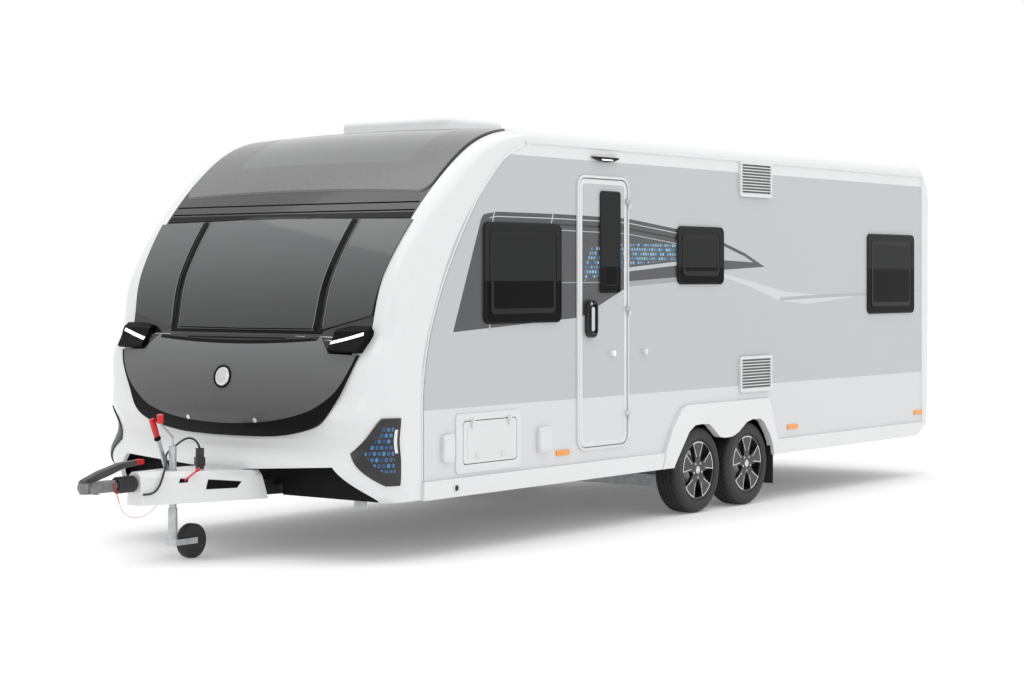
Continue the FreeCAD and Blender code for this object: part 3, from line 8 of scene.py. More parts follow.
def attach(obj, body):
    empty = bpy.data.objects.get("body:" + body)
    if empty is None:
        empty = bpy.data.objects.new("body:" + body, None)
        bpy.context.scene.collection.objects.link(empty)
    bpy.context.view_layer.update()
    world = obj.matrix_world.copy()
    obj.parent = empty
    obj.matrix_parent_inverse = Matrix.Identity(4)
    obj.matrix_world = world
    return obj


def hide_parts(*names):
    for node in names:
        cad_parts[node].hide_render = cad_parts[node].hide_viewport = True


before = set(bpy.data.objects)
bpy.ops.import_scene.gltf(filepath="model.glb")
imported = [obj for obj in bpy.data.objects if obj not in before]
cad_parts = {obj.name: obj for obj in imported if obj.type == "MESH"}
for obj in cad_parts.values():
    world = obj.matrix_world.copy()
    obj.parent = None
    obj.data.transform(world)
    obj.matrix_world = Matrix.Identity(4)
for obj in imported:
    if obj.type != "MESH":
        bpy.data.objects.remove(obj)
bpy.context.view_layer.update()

scene = bpy.context.scene

# The studio: a wide pale floor under soft white light, and a camera by the front corner on the door's side.
# The camera stands level at eye height, so upright edges stay upright in the picture.
pure_white = (1.0, 1.0, 1.0, 1.0)
floor_half = 70
eye_height = 1.616
world = bpy.data.worlds.new("white_studio")
scene.world = world
world.use_nodes = True
world.node_tree.nodes["Background"].inputs["Color"].default_value = pure_white
world.node_tree.nodes["Background"].inputs["Strength"].default_value = 1.0
scene.view_settings.view_transform = "Standard"
floor_mesh = bpy.data.meshes.new("studio_floor")
floor_corners = [(-floor_half, -floor_half, 0), (floor_half, -floor_half, 0), (floor_half, floor_half, 0),
                 (-floor_half, floor_half, 0)]
floor_mesh.from_pydata(floor_corners, [], [(0, 1, 2, 3)])
studio_floor = bpy.data.objects.new("studio_floor", floor_mesh)
scene.collection.objects.link(studio_floor)
for lamp_name, place, aim, size_x, size_y, power in (
        ("ceiling_light", (1.0, 1.0, 9.0), (0.0, 0.0, 0.0), 16.0, 9.0, 380.0),
        ("door_side_light", (2.0, 14.0, 5.0), (0.0, 0.0, 1.2), 12.0, 5.0, 60.0),
        ("nose_light", (15.0, -2.0, 4.5), (3.0, 0.0, 1.4), 7.0, 4.0, 40.0)):
    lamp = bpy.data.lights.new(lamp_name, "AREA")
    lamp.shape = "RECTANGLE"
    lamp.size = size_x
    lamp.size_y = size_y
    lamp.energy = power
    lamp_object = bpy.data.objects.new(lamp_name, lamp)
    lamp_object.location = place
    lamp_object.rotation_euler = (Vector(aim) - Vector(place)).to_track_quat("-Z", "Y").to_euler()
    scene.collection.objects.link(lamp_object)
camera = bpy.data.cameras.new("corner_camera")
camera.lens = 73.86
camera.sensor_width = 36.0
camera.shift_y = -0.0606
camera.clip_end = 200.0
camera_object = bpy.data.objects.new("corner_camera", camera)
camera_object.location = (11.967, 8.808, eye_height)
camera_object.rotation_euler = Vector((-0.8004, -0.5994, 0.0)).to_track_quat("-Z", "Y").to_euler()
scene.collection.objects.link(camera_object)
scene.camera = camera_object


def maths(material, operation, *values):
    """A math node fed with sockets or plain numbers; returns its result."""
    node = material.node_tree.nodes.new("ShaderNodeMath")
    node.operation = operation
    for slot_number, value in enumerate(values):
        if isinstance(value, (int, float)):
            node.inputs[slot_number].default_value = value
        else:
            material.node_tree.links.new(value, node.inputs[slot_number])
    return node.outputs[0]


def xyz(material):
    """The three coordinates of the point in the caravan's own frame, in metres."""
    place = material.node_tree.nodes.new("ShaderNodeTexCoord")
    split = material.node_tree.nodes.new("ShaderNodeSeparateXYZ")
    material.node_tree.links.new(place.outputs["Object"], split.inputs[0])
    return split.outputs


def finish(name, colour, rough, metal=0.0, spread=0.05, grain=40.0, bump=0.0003, coat=0.0, fine=4.0,
           shine=0.5, glow=0.0):
    """A finish with clouded colour, uneven gloss and a fine grain."""
    material = bpy.data.materials.new(name)
    material.use_nodes = True
    nodes, links = material.node_tree.nodes, material.node_tree.links
    shader = nodes["Principled BSDF"]
    shader.inputs["Metallic"].default_value = metal
    shader.inputs["Specular IOR Level"].default_value = shine
    shader.inputs["Coat Weight"].default_value = coat
    shader.inputs["Coat Roughness"].default_value = 0.04
    shader.inputs["Emission Color"].default_value = pure_white
    shader.inputs["Emission Strength"].default_value = glow
    place = nodes.new("ShaderNodeTexCoord")
    clouds = nodes.new("ShaderNodeTexNoise")
    clouds.inputs["Scale"].default_value = grain / 8
    clouds.inputs["Detail"].default_value = 5.0
    links.new(place.outputs["Object"], clouds.inputs["Vector"])
    ramp = nodes.new("ShaderNodeValToRGB")
    ramp.color_ramp.elements[0].position = 0.3
    ramp.color_ramp.elements[1].position = 0.7
    ramp.color_ramp.elements[0].color = [c * (1 - spread) for c in colour] + [1.0]
    ramp.color_ramp.elements[1].color = [min(1.0, c * (1 + spread)) for c in colour] + [1.0]
    links.new(clouds.outputs["Fac"], ramp.inputs["Fac"])
    links.new(ramp.outputs["Color"], shader.inputs["Base Color"])
    gloss = nodes.new("ShaderNodeMapRange")
    gloss.inputs["To Min"].default_value = rough * 0.8
    gloss.inputs["To Max"].default_value = rough * 1.2
    links.new(clouds.outputs["Fac"], gloss.inputs["Value"])
    links.new(gloss.outputs["Result"], shader.inputs["Roughness"])
    grit = nodes.new("ShaderNodeTexNoise")
    grit.inputs["Scale"].default_value = grain * fine
    grit.inputs["Detail"].default_value = 2.0
    links.new(place.outputs["Object"], grit.inputs["Vector"])
    raised = nodes.new("ShaderNodeBump")
    raised.inputs["Distance"].default_value = bump
    raised.inputs["Strength"].default_value = 0.5
    links.new(grit.outputs["Fac"], raised.inputs["Height"])
    links.new(raised.outputs["Normal"], shader.inputs["Normal"])
    return material


studio_floor.data.materials.append(finish("pale_floor", (0.93, 0.93, 0.93), 0.7, spread=0.01, grain=2.0,
                                          bump=0.0, glow=0.12))

# The electric cable runs from the drawbar's side, up past the brake lever and over to its plug, which is
# parked upright on the drawbar cover. It is a black rubber cable, 12 mm thick and fairly stiff.
tip = 4.155
cable_thick = 0.012
cable_route = [(0.405, 0.061, 0.405), (0.432, 0.086, 0.405), (0.466, 0.097, 0.418), (0.492, 0.105, 0.452),
               (0.508, 0.108, 0.492), (0.528, 0.104, 0.532), (0.560, 0.084, 0.565), (0.603, 0.044, 0.588),
               (0.650, -0.013, 0.602), (0.690, -0.037, 0.622), (0.738, -0.034, 0.648), (0.788, -0.022,
                                                                                        0.684),
               (0.835, -0.015, 0.697), (0.872, -0.008, 0.686), (0.898, -0.002, 0.660), (0.910, 0.000, 0.632)]


def along(from_tip):
    """The place along the caravan of a point that is measured back from the coupling's tip."""
    return tip - from_tip


def tube(name, points, thick, material, body="shell", smoothness=8):
    """A round tube along one smooth spline with these points as its control points."""
    curve = bpy.data.curves.new(name, "CURVE")
    curve.dimensions = "3D"
    spline = curve.splines.new("NURBS")
    spline.points.add(len(points) - 1)
    for control, point in zip(spline.points, points):
        control.co = (*point, 1.0)
    spline.order_u = 3
    spline.use_endpoint_u = True
    spline.resolution_u = smoothness
    curve.bevel_depth = thick / 2
    curve.bevel_resolution = 3
    curve.use_fill_caps = True
    curve.materials.append(material)
    piece = bpy.data.objects.new(name, curve)
    scene.collection.objects.link(piece)
    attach(piece, body)
    return piece


def length_of(piece):
    """The length of a cord along its middle line."""
    bare = piece.copy()
    bare.data = piece.data.copy()
    bare.data.bevel_depth = 0.0
    mesh = bpy.data.meshes.new_from_object(bare)
    points = [v.co.copy() for v in mesh.vertices]
    bpy.data.objects.remove(bare)
    bpy.data.meshes.remove(mesh)
    return sum((b - a).length for a, b in zip(points, points[1:]))


def dress(material, *node_names):
    """Gives a finish to nodes of the frame."""
    for node_name in node_names:
        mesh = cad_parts[node_name].data
        mesh.materials.clear()
        mesh.materials.append(material)


cable_rubber = finish("cable_rubber", (0.016, 0.016, 0.017), 0.45, grain=120.0, bump=0.0004)
tow_cord = tube("tow_cord", [(along(q), y, z) for q, y, z in cable_route], cable_thick, cable_rubber)
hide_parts("tow_cable")
plug_black = finish("plug_black", (0.02, 0.02, 0.021), 0.4, grain=200.0, bump=0.0003)
dress(plug_black, "tow_plug")
length_of(tow_cord)

# The breakaway cable is thin red plastic-covered wire, 3 mm thick. It leaves the coupling's side as a tight
# coil and then hangs in a loop back to the drawbar.
wire_thick = 0.003
coil_turns = 15
coil_steps = 12
coil_swell = 0.0052
coil_route = [(0.205, 0.042, 0.488), (0.217, 0.043, 0.450), (0.231, 0.044, 0.406), (0.244, 0.046, 0.363)]
loop_route = [(0.244, 0.046, 0.363), (0.260, 0.045, 0.330), (0.288, 0.043, 0.303), (0.325, 0.040, 0.284),
              (0.372, 0.037, 0.275), (0.425, 0.034, 0.277), (0.475, 0.033, 0.292), (0.515, 0.038, 0.315),
              (0.536, 0.045, 0.350)]
coil_start, coil_end = [Vector((along(q), y, z)) for q, y, z in (coil_route[0], coil_route[-1])]
coil_run = coil_end - coil_start
coil_side = coil_run.cross(Vector((0, 1, 0))).normalized()
coil_front = coil_side.cross(coil_run).normalized()
wire_points = []
for step in range(coil_turns * coil_steps + 1):
    share = step / (coil_turns * coil_steps)
    turn = 2 * math.pi * coil_turns * share
    swell = coil_swell * min(1.0, 8 * share + 0.2, 8 * (1 - share))
    centre = coil_start.lerp(coil_end, share)
    wire_points.append(centre + coil_side * swell * math.cos(turn) + coil_front * swell * math.sin(turn))
wire_points += [Vector((along(q), y, z)) for q, y, z in loop_route[1:]]
wire_red = finish("cable_red", (0.62, 0.02, 0.02), 0.35, grain=150.0, bump=0.0002)
breakaway_cord = tube("breakaway_cord", wire_points, wire_thick, wire_red)
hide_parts("breakaway_cable")
length_of(breakaway_cord)

# Hot-dip galvanised steelwork, bolted together: the chassis, axles, corner steadies, brake lever and the
# jockey wheel's tubes. Under the front end the drawbar's arms carry painted shade, near-black like the
# plastic tray.
arm_shade_from, arm_shade_to = 2.60, 3.03
drawbar_half = 0.60


def tint(material, mask, colour):
    """Lays a second colour over a finish where the mask is one."""
    nodes, links = material.node_tree.nodes, material.node_tree.links
    shader = nodes["Principled BSDF"]
    before = shader.inputs["Base Color"].links[0].from_socket
    mix = nodes.new("ShaderNodeMix")
    mix.data_type = "RGBA"
    links.new(mask, mix.inputs["Factor"])
    links.new(before, mix.inputs["A"])
    if isinstance(colour, tuple):
        mix.inputs["B"].default_value = (*colour, 1.0)
    else:
        links.new(colour, mix.inputs["B"])
    links.new(mix.outputs["Result"], shader.inputs["Base Color"])


def over(material, value, low):
    return maths(material, "GREATER_THAN", value, low)


def under(material, value, high):
    return maths(material, "LESS_THAN", value, high)


def every(material, *masks):
    """One where all the masks are one."""
    together = masks[0]
    for mask in masks[1:]:
        together = maths(material, "MULTIPLY", together, mask)
    return together


def within(material, value, low, high):
    """One where the value lies between two limits."""
    return every(material, over(material, value, low), under(material, value, high))


zinc = finish("zinc", (0.50, 0.51, 0.52), 0.42, metal=0.85, spread=0.16, grain=160.0, bump=0.0004)
zinc_at = xyz(zinc)
# Painted shade: near-black over the drawbar's arms under the front end, where the body shades them.
arm_shade = every(zinc, within(zinc, zinc_at[0], arm_shade_from, arm_shade_to),
                   under(zinc, maths(zinc, "ABSOLUTE", zinc_at[1]), drawbar_half))
tint(zinc, arm_shade, (0.03, 0.03, 0.031))
dress(zinc, "chassis", "axle_front", "axle_rear", "steady_front_left", "steady_front_right",
      "steady_rear_left", "steady_rear_right", "jockey_sleeve", "jockey_tube", "jockey_fork",
      "handbrake_lever")
dark_plastic = finish("dark_plastic", (0.004, 0.004, 0.0045), 0.6, grain=90.0, bump=0.0006, shine=0.15)
dress(dark_plastic, "wheel_boxes", "locker_tray")
board = finish("floor_board", (0.06, 0.06, 0.06), 0.6, spread=0.2, grain=30.0, bump=0.0008)
dress(board, "floor")

# The shell's mouldings, bonded or screwed on: gel-coated roof, rear end, skirts and drawbar cover in white,
# and white plastic frames, covers and rooflights. The two vents have white slats with painted shade, dark
# grey, behind them.
vent_recess_face = 1.1475
vent_slats_rear, vent_slats_front = -1.389, -0.984
gel = finish("white_gel", (0.685, 0.69, 0.695), 0.22, spread=0.012, grain=6.0, bump=0.00015, coat=0.4,
             fine=12.0)
dress(gel, "roof", "rear_panel", "skirt_left", "skirt_right", "drawbar_cover")
white_plastic = finish("white_plastic", (0.66, 0.665, 0.67), 0.34, spread=0.015, grain=60.0, bump=0.0003)
dress(white_plastic, "door_frame", "hatch_frame", "hatch_lid", "hatch_bin", "small_covers", "roof_domes")
vent_white = finish("vent_white", (0.66, 0.665, 0.67), 0.34, spread=0.015, grain=60.0, bump=0.0003)
vent_at = xyz(vent_white)
# Painted shade: dark grey on the recessed part behind the slats, in place of the shade in the gaps.
vent_gap_shade = every(vent_white, under(vent_white, vent_at[1], vent_recess_face),
                  within(vent_white, vent_at[0], vent_slats_rear, vent_slats_front))
tint(vent_white, vent_gap_shade, (0.10, 0.101, 0.103))
dress(vent_white, "vents")

# The side walls: smooth coated sheet with three bands of grey, the middle one darkest. On each side a film
# is laid over it: a charcoal swoosh with thin silver lines, dots in blues, and a pale tail.
band_foot_height, band_top_height = 0.858, 2.378
curve_from, curve_span, curve_foot = 1.6, 6.4, 1.2
swoosh_rear, swoosh_front = -1.325, 2.300
tail_front = -0.725
core_low, core_high, core_rear, core_front = -0.010, 0.014, -2.94, -1.55
tick_places, tick_wide, tick_deep, tick_lean = (1.902, 1.296), 0.007, 0.06, 0.3
upright_tick_rear, upright_tick_front = 1.947, 1.955
foot_stripe_deep, foot_stripe_rear, foot_stripe_front = 0.034, -0.60, 0.45
thin_line_foot, thin_line_top, thin_line_rear, thin_line_front = 1.594, 1.599, 0.62, 1.40
wall_dot_pitch, dots_rear, dots_front = 0.030, -0.20, 0.965
stroke_deep, stroke_rear, stroke_front = 0.026, -0.55, 0.515
tip_below_top, tip_front = 0.024, -0.74
silver = (0.7, 0.71, 0.73)
swoosh_top_line = [(1.850, 1.307), (2.130, 2.004), (2.268, 2.025), (2.934, 2.026), (3.693, 2.016),
                   (4.294, 1.960), (4.896, 1.878), (5.200, 1.805), (5.483, 1.708)]
swoosh_foot_line = [(1.850, 1.306), (3.113, 1.372), (3.180, 1.384), (3.622, 1.545), (3.722, 1.571),
                    (4.310, 1.598), (4.896, 1.683), (5.483, 1.708)]
tail_top_line = [(4.880, 1.660), (5.300, 1.600), (5.800, 1.525), (6.300, 1.502), (7.090, 1.505)]
tail_foot_line = [(4.880, 1.640), (5.300, 1.560), (5.700, 1.462), (6.100, 1.432), (6.700, 1.470),
                  (7.090, 1.500)]
tail_core_line = [(5.700, 1.470), (6.300, 1.488), (7.090, 1.500)]
dots_top_line = [(3.190, 1.700), (3.278, 1.830), (3.700, 1.850), (4.300, 1.857)]
dots_foot_line = [(3.190, 1.606), (3.364, 1.641), (3.705, 1.713), (4.303, 1.746)]
stroke_line = [(3.640, 1.690), (4.303, 1.738), (5.000, 1.760)]
tip_line = [(4.890, 1.752), (5.340, 1.738), (5.480, 1.712)]


def height_at(material, place, points):
    """A height that follows a line of points, each a place from the tip and a height."""
    node = material.node_tree.nodes.new("ShaderNodeFloatCurve")
    share = maths(material, "DIVIDE", maths(material, "SUBTRACT", along(curve_from), place), curve_span)
    material.node_tree.links.new(share, node.inputs["Value"])
    line = node.mapping.curves[0]
    for number, (q, z) in enumerate(points):
        x, y = (q - curve_from) / curve_span, z - curve_foot
        point = line.points[number] if number < 2 else line.points.new(x, y)
        point.location = (x, y)
        point.handle_type = "VECTOR"
    node.mapping.extend = "HORIZONTAL"
    node.mapping.update()
    return maths(material, "ADD", node.outputs["Value"], curve_foot)


def dots(material, across, up, pitch, deep, pale):
    """Staggered round dots, one where a dot is, and a blue that changes from dot to dot."""
    dot_radius_square = 0.14
    steps_up = maths(material, "DIVIDE", up, pitch)
    row = maths(material, "FLOOR", steps_up)
    stagger = maths(material, "MULTIPLY", maths(material, "MODULO", row, 2.0), 0.5)
    shifted = maths(material, "ADD", maths(material, "DIVIDE", across, pitch), stagger)
    u = maths(material, "SUBTRACT", maths(material, "FRACT", shifted), 0.5)
    v = maths(material, "SUBTRACT", maths(material, "FRACT", steps_up), 0.5)
    far = maths(material, "ADD", maths(material, "MULTIPLY", u, u), maths(material, "MULTIPLY", v, v))
    nodes, links = material.node_tree.nodes, material.node_tree.links
    cell = nodes.new("ShaderNodeCombineXYZ")
    links.new(maths(material, "FLOOR", shifted), cell.inputs[0])
    links.new(row, cell.inputs[1])
    chance = nodes.new("ShaderNodeTexWhiteNoise")
    links.new(cell.outputs[0], chance.inputs["Vector"])
    ramp = nodes.new("ShaderNodeValToRGB")
    ramp.color_ramp.elements[0].color = (*deep, 1)
    ramp.color_ramp.elements[1].color = (*pale, 1)
    links.new(chance.outputs["Value"], ramp.inputs["Fac"])
    return under(material, far, dot_radius_square), ramp.outputs["Color"]


wall_paint = finish("wall_paint", (0.615, 0.62, 0.63), 0.30, spread=0.006, grain=5.0, bump=0.00003, coat=0.1,
                    fine=14.0)
wall_at = xyz(wall_paint)
wall_place, wall_height = wall_at[0], wall_at[2]
tint(wall_paint, within(wall_paint, wall_height, band_foot_height, band_top_height), (0.46, 0.467, 0.478))
tint(wall_paint, over(wall_paint, wall_height, band_top_height), (0.68, 0.685, 0.69))
swoosh_top = height_at(wall_paint, wall_place, swoosh_top_line)
swoosh_foot = height_at(wall_paint, wall_place, swoosh_foot_line)
tail_top = height_at(wall_paint, wall_place, tail_top_line)
tail_foot = height_at(wall_paint, wall_place, tail_foot_line)
on_tail = every(wall_paint, within(wall_paint, wall_height, tail_foot, tail_top),
                under(wall_paint, wall_place, tail_front))
tint(wall_paint, on_tail, (0.57, 0.575, 0.585))
tail_core = height_at(wall_paint, wall_place, tail_core_line)
above_core = maths(wall_paint, "SUBTRACT", wall_height, tail_core)
tint(wall_paint, every(wall_paint, within(wall_paint, above_core, core_low, core_high),
                       within(wall_paint, wall_place, core_rear, core_front)), (0.38, 0.385, 0.395))
on_swoosh = every(wall_paint, within(wall_paint, wall_height, swoosh_foot, swoosh_top),
                  within(wall_paint, wall_place, swoosh_rear, swoosh_front))
tint(wall_paint, on_swoosh, (0.055, 0.056, 0.059))
below_top = maths(wall_paint, "SUBTRACT", swoosh_top, wall_height)
above_foot = maths(wall_paint, "SUBTRACT", wall_height, swoosh_foot)
for near, far, rear_end, front_end, colour in ((0.026, 0.031, -0.8, 1.95, (0.55, 0.56, 0.58)),
                                               (0.060, 0.072, -0.6, 2.00, (0.008, 0.008, 0.009)),
                                               (0.098, 0.103, -0.5, 1.40, (0.42, 0.43, 0.45))):
    tint(wall_paint, every(wall_paint, within(wall_paint, below_top, near, far),
                           within(wall_paint, wall_place, rear_end, front_end), on_swoosh), colour)
leaning = maths(wall_paint, "SUBTRACT", wall_place, maths(wall_paint, "MULTIPLY", below_top, tick_lean))
for tick_place in tick_places:
    tint(wall_paint, every(wall_paint, within(wall_paint, leaning, tick_place, tick_place + tick_wide),
                           within(wall_paint, below_top, 0.0, tick_deep)), silver)
tint(wall_paint, every(wall_paint, within(wall_paint, wall_place, upright_tick_rear, upright_tick_front),
                       within(wall_paint, above_foot, 0.0, foot_stripe_deep)), silver)
tint(wall_paint, every(wall_paint, within(wall_paint, wall_height, thin_line_foot, thin_line_top),
                       within(wall_paint, wall_place, thin_line_rear, thin_line_front)), (0.35, 0.36, 0.38))
dots_top = height_at(wall_paint, wall_place, dots_top_line)
dots_foot = height_at(wall_paint, wall_place, dots_foot_line)
dot_mask, dot_blue = dots(wall_paint, wall_place, wall_height, wall_dot_pitch, (0.01, 0.05, 0.14),
                           (0.22, 0.47, 0.62))
tint(wall_paint, every(wall_paint, within(wall_paint, wall_height, dots_foot, dots_top),
                       within(wall_paint, wall_place, dots_rear, dots_front), dot_mask, on_swoosh),
     dot_blue)
# Silver strokes under the dots, along the foot and on the tip behind the middle window.
above_stroke = maths(wall_paint, "SUBTRACT", wall_height, height_at(wall_paint, wall_place, stroke_line))
tint(wall_paint, every(wall_paint, within(wall_paint, above_stroke, -stroke_deep, 0.0),
                       within(wall_paint, wall_place, stroke_rear, stroke_front)), (0.45, 0.46, 0.48))
tint(wall_paint, every(wall_paint, within(wall_paint, above_foot, 0.0, foot_stripe_deep),
                       within(wall_paint, wall_place, foot_stripe_rear, foot_stripe_front)),
     (0.30, 0.305, 0.315))
tip_foot = height_at(wall_paint, wall_place, tip_line)
tint(wall_paint, every(wall_paint, over(wall_paint, wall_height, tip_foot),
                       over(wall_paint, below_top, tip_below_top),
                       under(wall_paint, wall_place, tip_front)), (0.44, 0.45, 0.46))
dress(wall_paint, "wall_left", "wall_right", "door_leaf")

# The front end: one white moulding, bonded to the walls. Its whole middle, round the windows and up to the
# roof, is finished in near-black gloss, and so are the brackets that carry the lid's pins.
dark_half, dark_widening = 0.915, 0.05
dark_foot, dark_top = 1.285, 2.60
bracket_inner, bracket_outer = 0.50, 0.62
bracket_foot, bracket_top = 1.240, 1.286
near_black = (0.012, 0.012, 0.013)
front_gel = finish("front_gel", (0.685, 0.69, 0.695), 0.2, spread=0.008, grain=6.0, bump=0.0001, coat=0.3,
                   fine=12.0)
front_at = xyz(front_gel)
beside = maths(front_gel, "ABSOLUTE", front_at[1])
edge_of_dark = maths(front_gel, "MULTIPLY_ADD", front_at[2], dark_widening, dark_half)
tint(front_gel, every(front_gel, under(front_gel, beside, edge_of_dark),
                      within(front_gel, front_at[2], dark_foot, dark_top)), near_black)
tint(front_gel, every(front_gel, within(front_gel, beside, bracket_inner, bracket_outer),
                      within(front_gel, front_at[2], bracket_foot, bracket_top)), near_black)
dress(front_gel, "front_panel")

# Side and rear windows: double acrylic panes, tinted almost black, each flanged over its opening in a rubber
# seal. A raised field runs round the pane, and through it the blind's edge shows, grey above its foot.
wall_face, pane_face = 1.140, 1.154
skin = 0.0002
front_blind_foot, other_blind_foot = 1.607, 1.699
behind_front_window = 1.1
both_sides = (("left", 1), ("right", -1))
side_windows = [("front", (2.142, 2.929, 1.349, 1.962)), ("middle", (4.298, 4.894, 1.583, 1.980)),
                ("back", (7.079, 7.888, 1.346, 1.975))]
seal_outer_inset, seal_outer_radius = -0.001, 0.046
seal_inner_inset, seal_inner_radius = 0.008, 0.040
seal_low, seal_high = 0.007, 0.016
bead_outer_inset, bead_inner_inset = 0.045, 0.058
field_radius = 0.055
bead_outer_radius = field_radius - bead_outer_inset / 3
bead_inner_radius = field_radius - bead_inner_inset / 3
bead_proud, bead_edge = 0.0032, 0.0012
film = 0.0004
blind_inset, blind_foot_inset, blind_radius = 0.085, 0.090, 0.020


def mesh_piece(name, vertices, faces, material, body="shell", bevel=0.0, angle=38.0):
    """A piece with smooth faces and crisp edges that rides on a body; a bevel eases its edges."""
    mesh = bpy.data.meshes.new(name)
    mesh.from_pydata([tuple(v) for v in vertices], [], faces)
    form = bmesh.new()
    form.from_mesh(mesh)
    bmesh.ops.recalc_face_normals(form, faces=form.faces)
    form.to_mesh(mesh)
    form.free()
    mesh.materials.append(material)
    mesh.shade_smooth()
    mesh.set_sharp_from_angle(angle=math.radians(angle))
    piece = bpy.data.objects.new(name, mesh)
    scene.collection.objects.link(piece)
    if bevel:
        edge = piece.modifiers.new("soft_edge", "BEVEL")
        edge.width = bevel
        edge.segments = 2
        edge.limit_method = "ANGLE"
        edge.harden_normals = True
    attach(piece, body)
    return piece


def rounded_rect(q0, q1, z0, z1, radius, steps=6):
    """A rectangle with round corners, as points."""
    points = []
    for q, z, start in ((q1 - radius, z1 - radius, 0), (q0 + radius, z1 - radius, 90),
                        (q0 + radius, z0 + radius, 180), (q1 - radius, z0 + radius, 270)):
        for step in range(steps + 1):
            turn = math.radians(start + 90 * step / steps)
            points.append((q + radius * math.cos(turn), z + radius * math.sin(turn)))
    return points


def inset(opening, by, radius, steps=6):
    """A rectangle's outline drawn in on all sides, or out where the amount is negative."""
    q0, q1, z0, z1 = opening
    return rounded_rect(q0 + by, q1 - by, z0 + by, z1 - by, radius, steps)


def side_ring(name, outer, inner, foot, outer_top, inner_top, material, body="shell", bevel=0.0):
    """A moulding round an opening, from its foot to a top that runs from the outer to the inner outline."""
    loops = ((outer, foot), (outer, outer_top), (inner, inner_top), (inner, foot))
    count = len(outer)
    vertices = [(along(q), y, z) for outline, y in loops for q, z in outline]
    faces = []
    for a in range(len(loops)):
        b = (a + 1) % len(loops)
        for k in range(count):
            after = (k + 1) % count
            faces.append((a * count + k, a * count + after, b * count + after, b * count + k))
    return mesh_piece(name, vertices, faces, material, body, bevel)


tinted = finish("tinted_acrylic", (0.004, 0.004, 0.0045), 0.06, spread=0.15, grain=2.0, bump=0.00005,
                shine=0.05)
tinted_at = xyz(tinted)
further_back = maths(tinted, "MULTIPLY", under(tinted, tinted_at[0], behind_front_window),
                     other_blind_foot - front_blind_foot)
blind_foot = maths(tinted, "ADD", further_back, front_blind_foot)
tint(tinted, over(tinted, tinted_at[2], blind_foot), (0.022, 0.0225, 0.023))
dress(tinted, "side_windows_left", "side_windows_right", "rear_window", "door_window")
seal_rubber = finish("seal_rubber", (0.012, 0.012, 0.012), 0.55, grain=140.0, bump=0.0003)
blind_grey = finish("blind_grey", (0.014, 0.0145, 0.015), 0.25, spread=0.1, grain=20.0, bump=0.0001,
                    shine=0.12)
for side_name, side in both_sides:
    for window_name, opening in side_windows:
        name = window_name + "_window_" + side_name
        wide = inset(opening, seal_outer_inset, seal_outer_radius)
        near = inset(opening, seal_inner_inset, seal_inner_radius)
        seal_foot, seal_side, seal_lip = [side * (wall_face + out) for out in (skin, seal_low, seal_high)]
        side_ring(name + "_seal", wide, near, seal_foot, seal_side, seal_lip, seal_rubber)
        outer = inset(opening, bead_outer_inset, bead_outer_radius)
        inner = inset(opening, bead_inner_inset, bead_inner_radius)
        bead_foot, bead_top = side * (pane_face - skin), side * (pane_face + bead_proud)
        side_ring(name + "_bead", outer, inner, bead_foot, bead_top, bead_top, tinted, bevel=bead_edge)
        q0, q1, z0, z1 = opening
        blind = rounded_rect(q0 + blind_inset, q1 - blind_inset, z0 + blind_foot_inset, z1 - blind_inset,
                             blind_radius)
        film_foot, film_top = side * pane_face, side * (pane_face + film)
        side_ring(name + "_blind", inner, blind, film_foot, film_top, film_top, blind_grey)

# Front windows: three smoke-grey panes bonded between glossy black pillars and strips, each with a fine pale
# edge where the acrylic is polished. The pillars and strips are thin mouldings laid over the joints.
pillar_inner_edge = [(0.556, 1.322), (0.575, 1.65), (0.588, 1.972)]
pillar_outer_edge = [(0.618, 1.324), (0.632, 1.65), (0.644, 1.970)]
pillar_lift, pillar_thick = 0.004, 0.012
polish_from, polish_to = 0.003, 0.007
polish_lift, polish_thick = 0.003, 0.006
strip_lift, strip_thick = 0.003, 0.010
foot_strip_lift = 0.004
reflection_foot, reflection_fade = 1.30, 1.35
far_off = 8.0
backwards = (-1, 0, 0)


def surface_of(node_name):
    """A node's surface, for laying pieces on it."""
    return BVHTree.FromObject(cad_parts[node_name], bpy.context.evaluated_depsgraph_get())


def on_surface(trees, y, z, way=backwards):
    """The first point that a line straight along the caravan meets, and the way the surface faces there."""
    hits = [tree.ray_cast(Vector((-far_off * way[0], y, z)), Vector(way)) for tree in trees]
    found = min((hit for hit in hits if hit[0] is not None), key=lambda hit: hit[3])
    return found[0], found[1]


def draped(name, rows, lift, thick, material, trees, body="shell", way=backwards):
    """A thin sheet laid on the shell: rows of (y, z) points dropped onto it along the caravan."""
    tops, count = [], len(rows[0])
    for row in rows:
        for y, z in row:
            point, normal = on_surface(trees, y, z, way)
            tops.append(point + normal * lift)
    vertices = tops + [point + Vector(way) * thick for point in tops]
    faces, total = [], len(tops)
    for r in range(len(rows) - 1):
        for c in range(count - 1):
            a = r * count + c
            faces.append((a, a + 1, a + count + 1, a + count))
            faces.append((total + a, total + a + count, total + a + count + 1, total + a + 1))
    rim = list(range(count)) + [r * count + count - 1 for r in range(1, len(rows))]
    rim += [(len(rows) - 1) * count + c for c in range(count - 2, -1, -1)]
    rim += [r * count for r in range(len(rows) - 2, 0, -1)]
    for a, b in zip(rim, rim[1:] + rim[:1]):
        faces.append((a, b, total + b, total + a))
    return mesh_piece(name, vertices, faces, material, body)


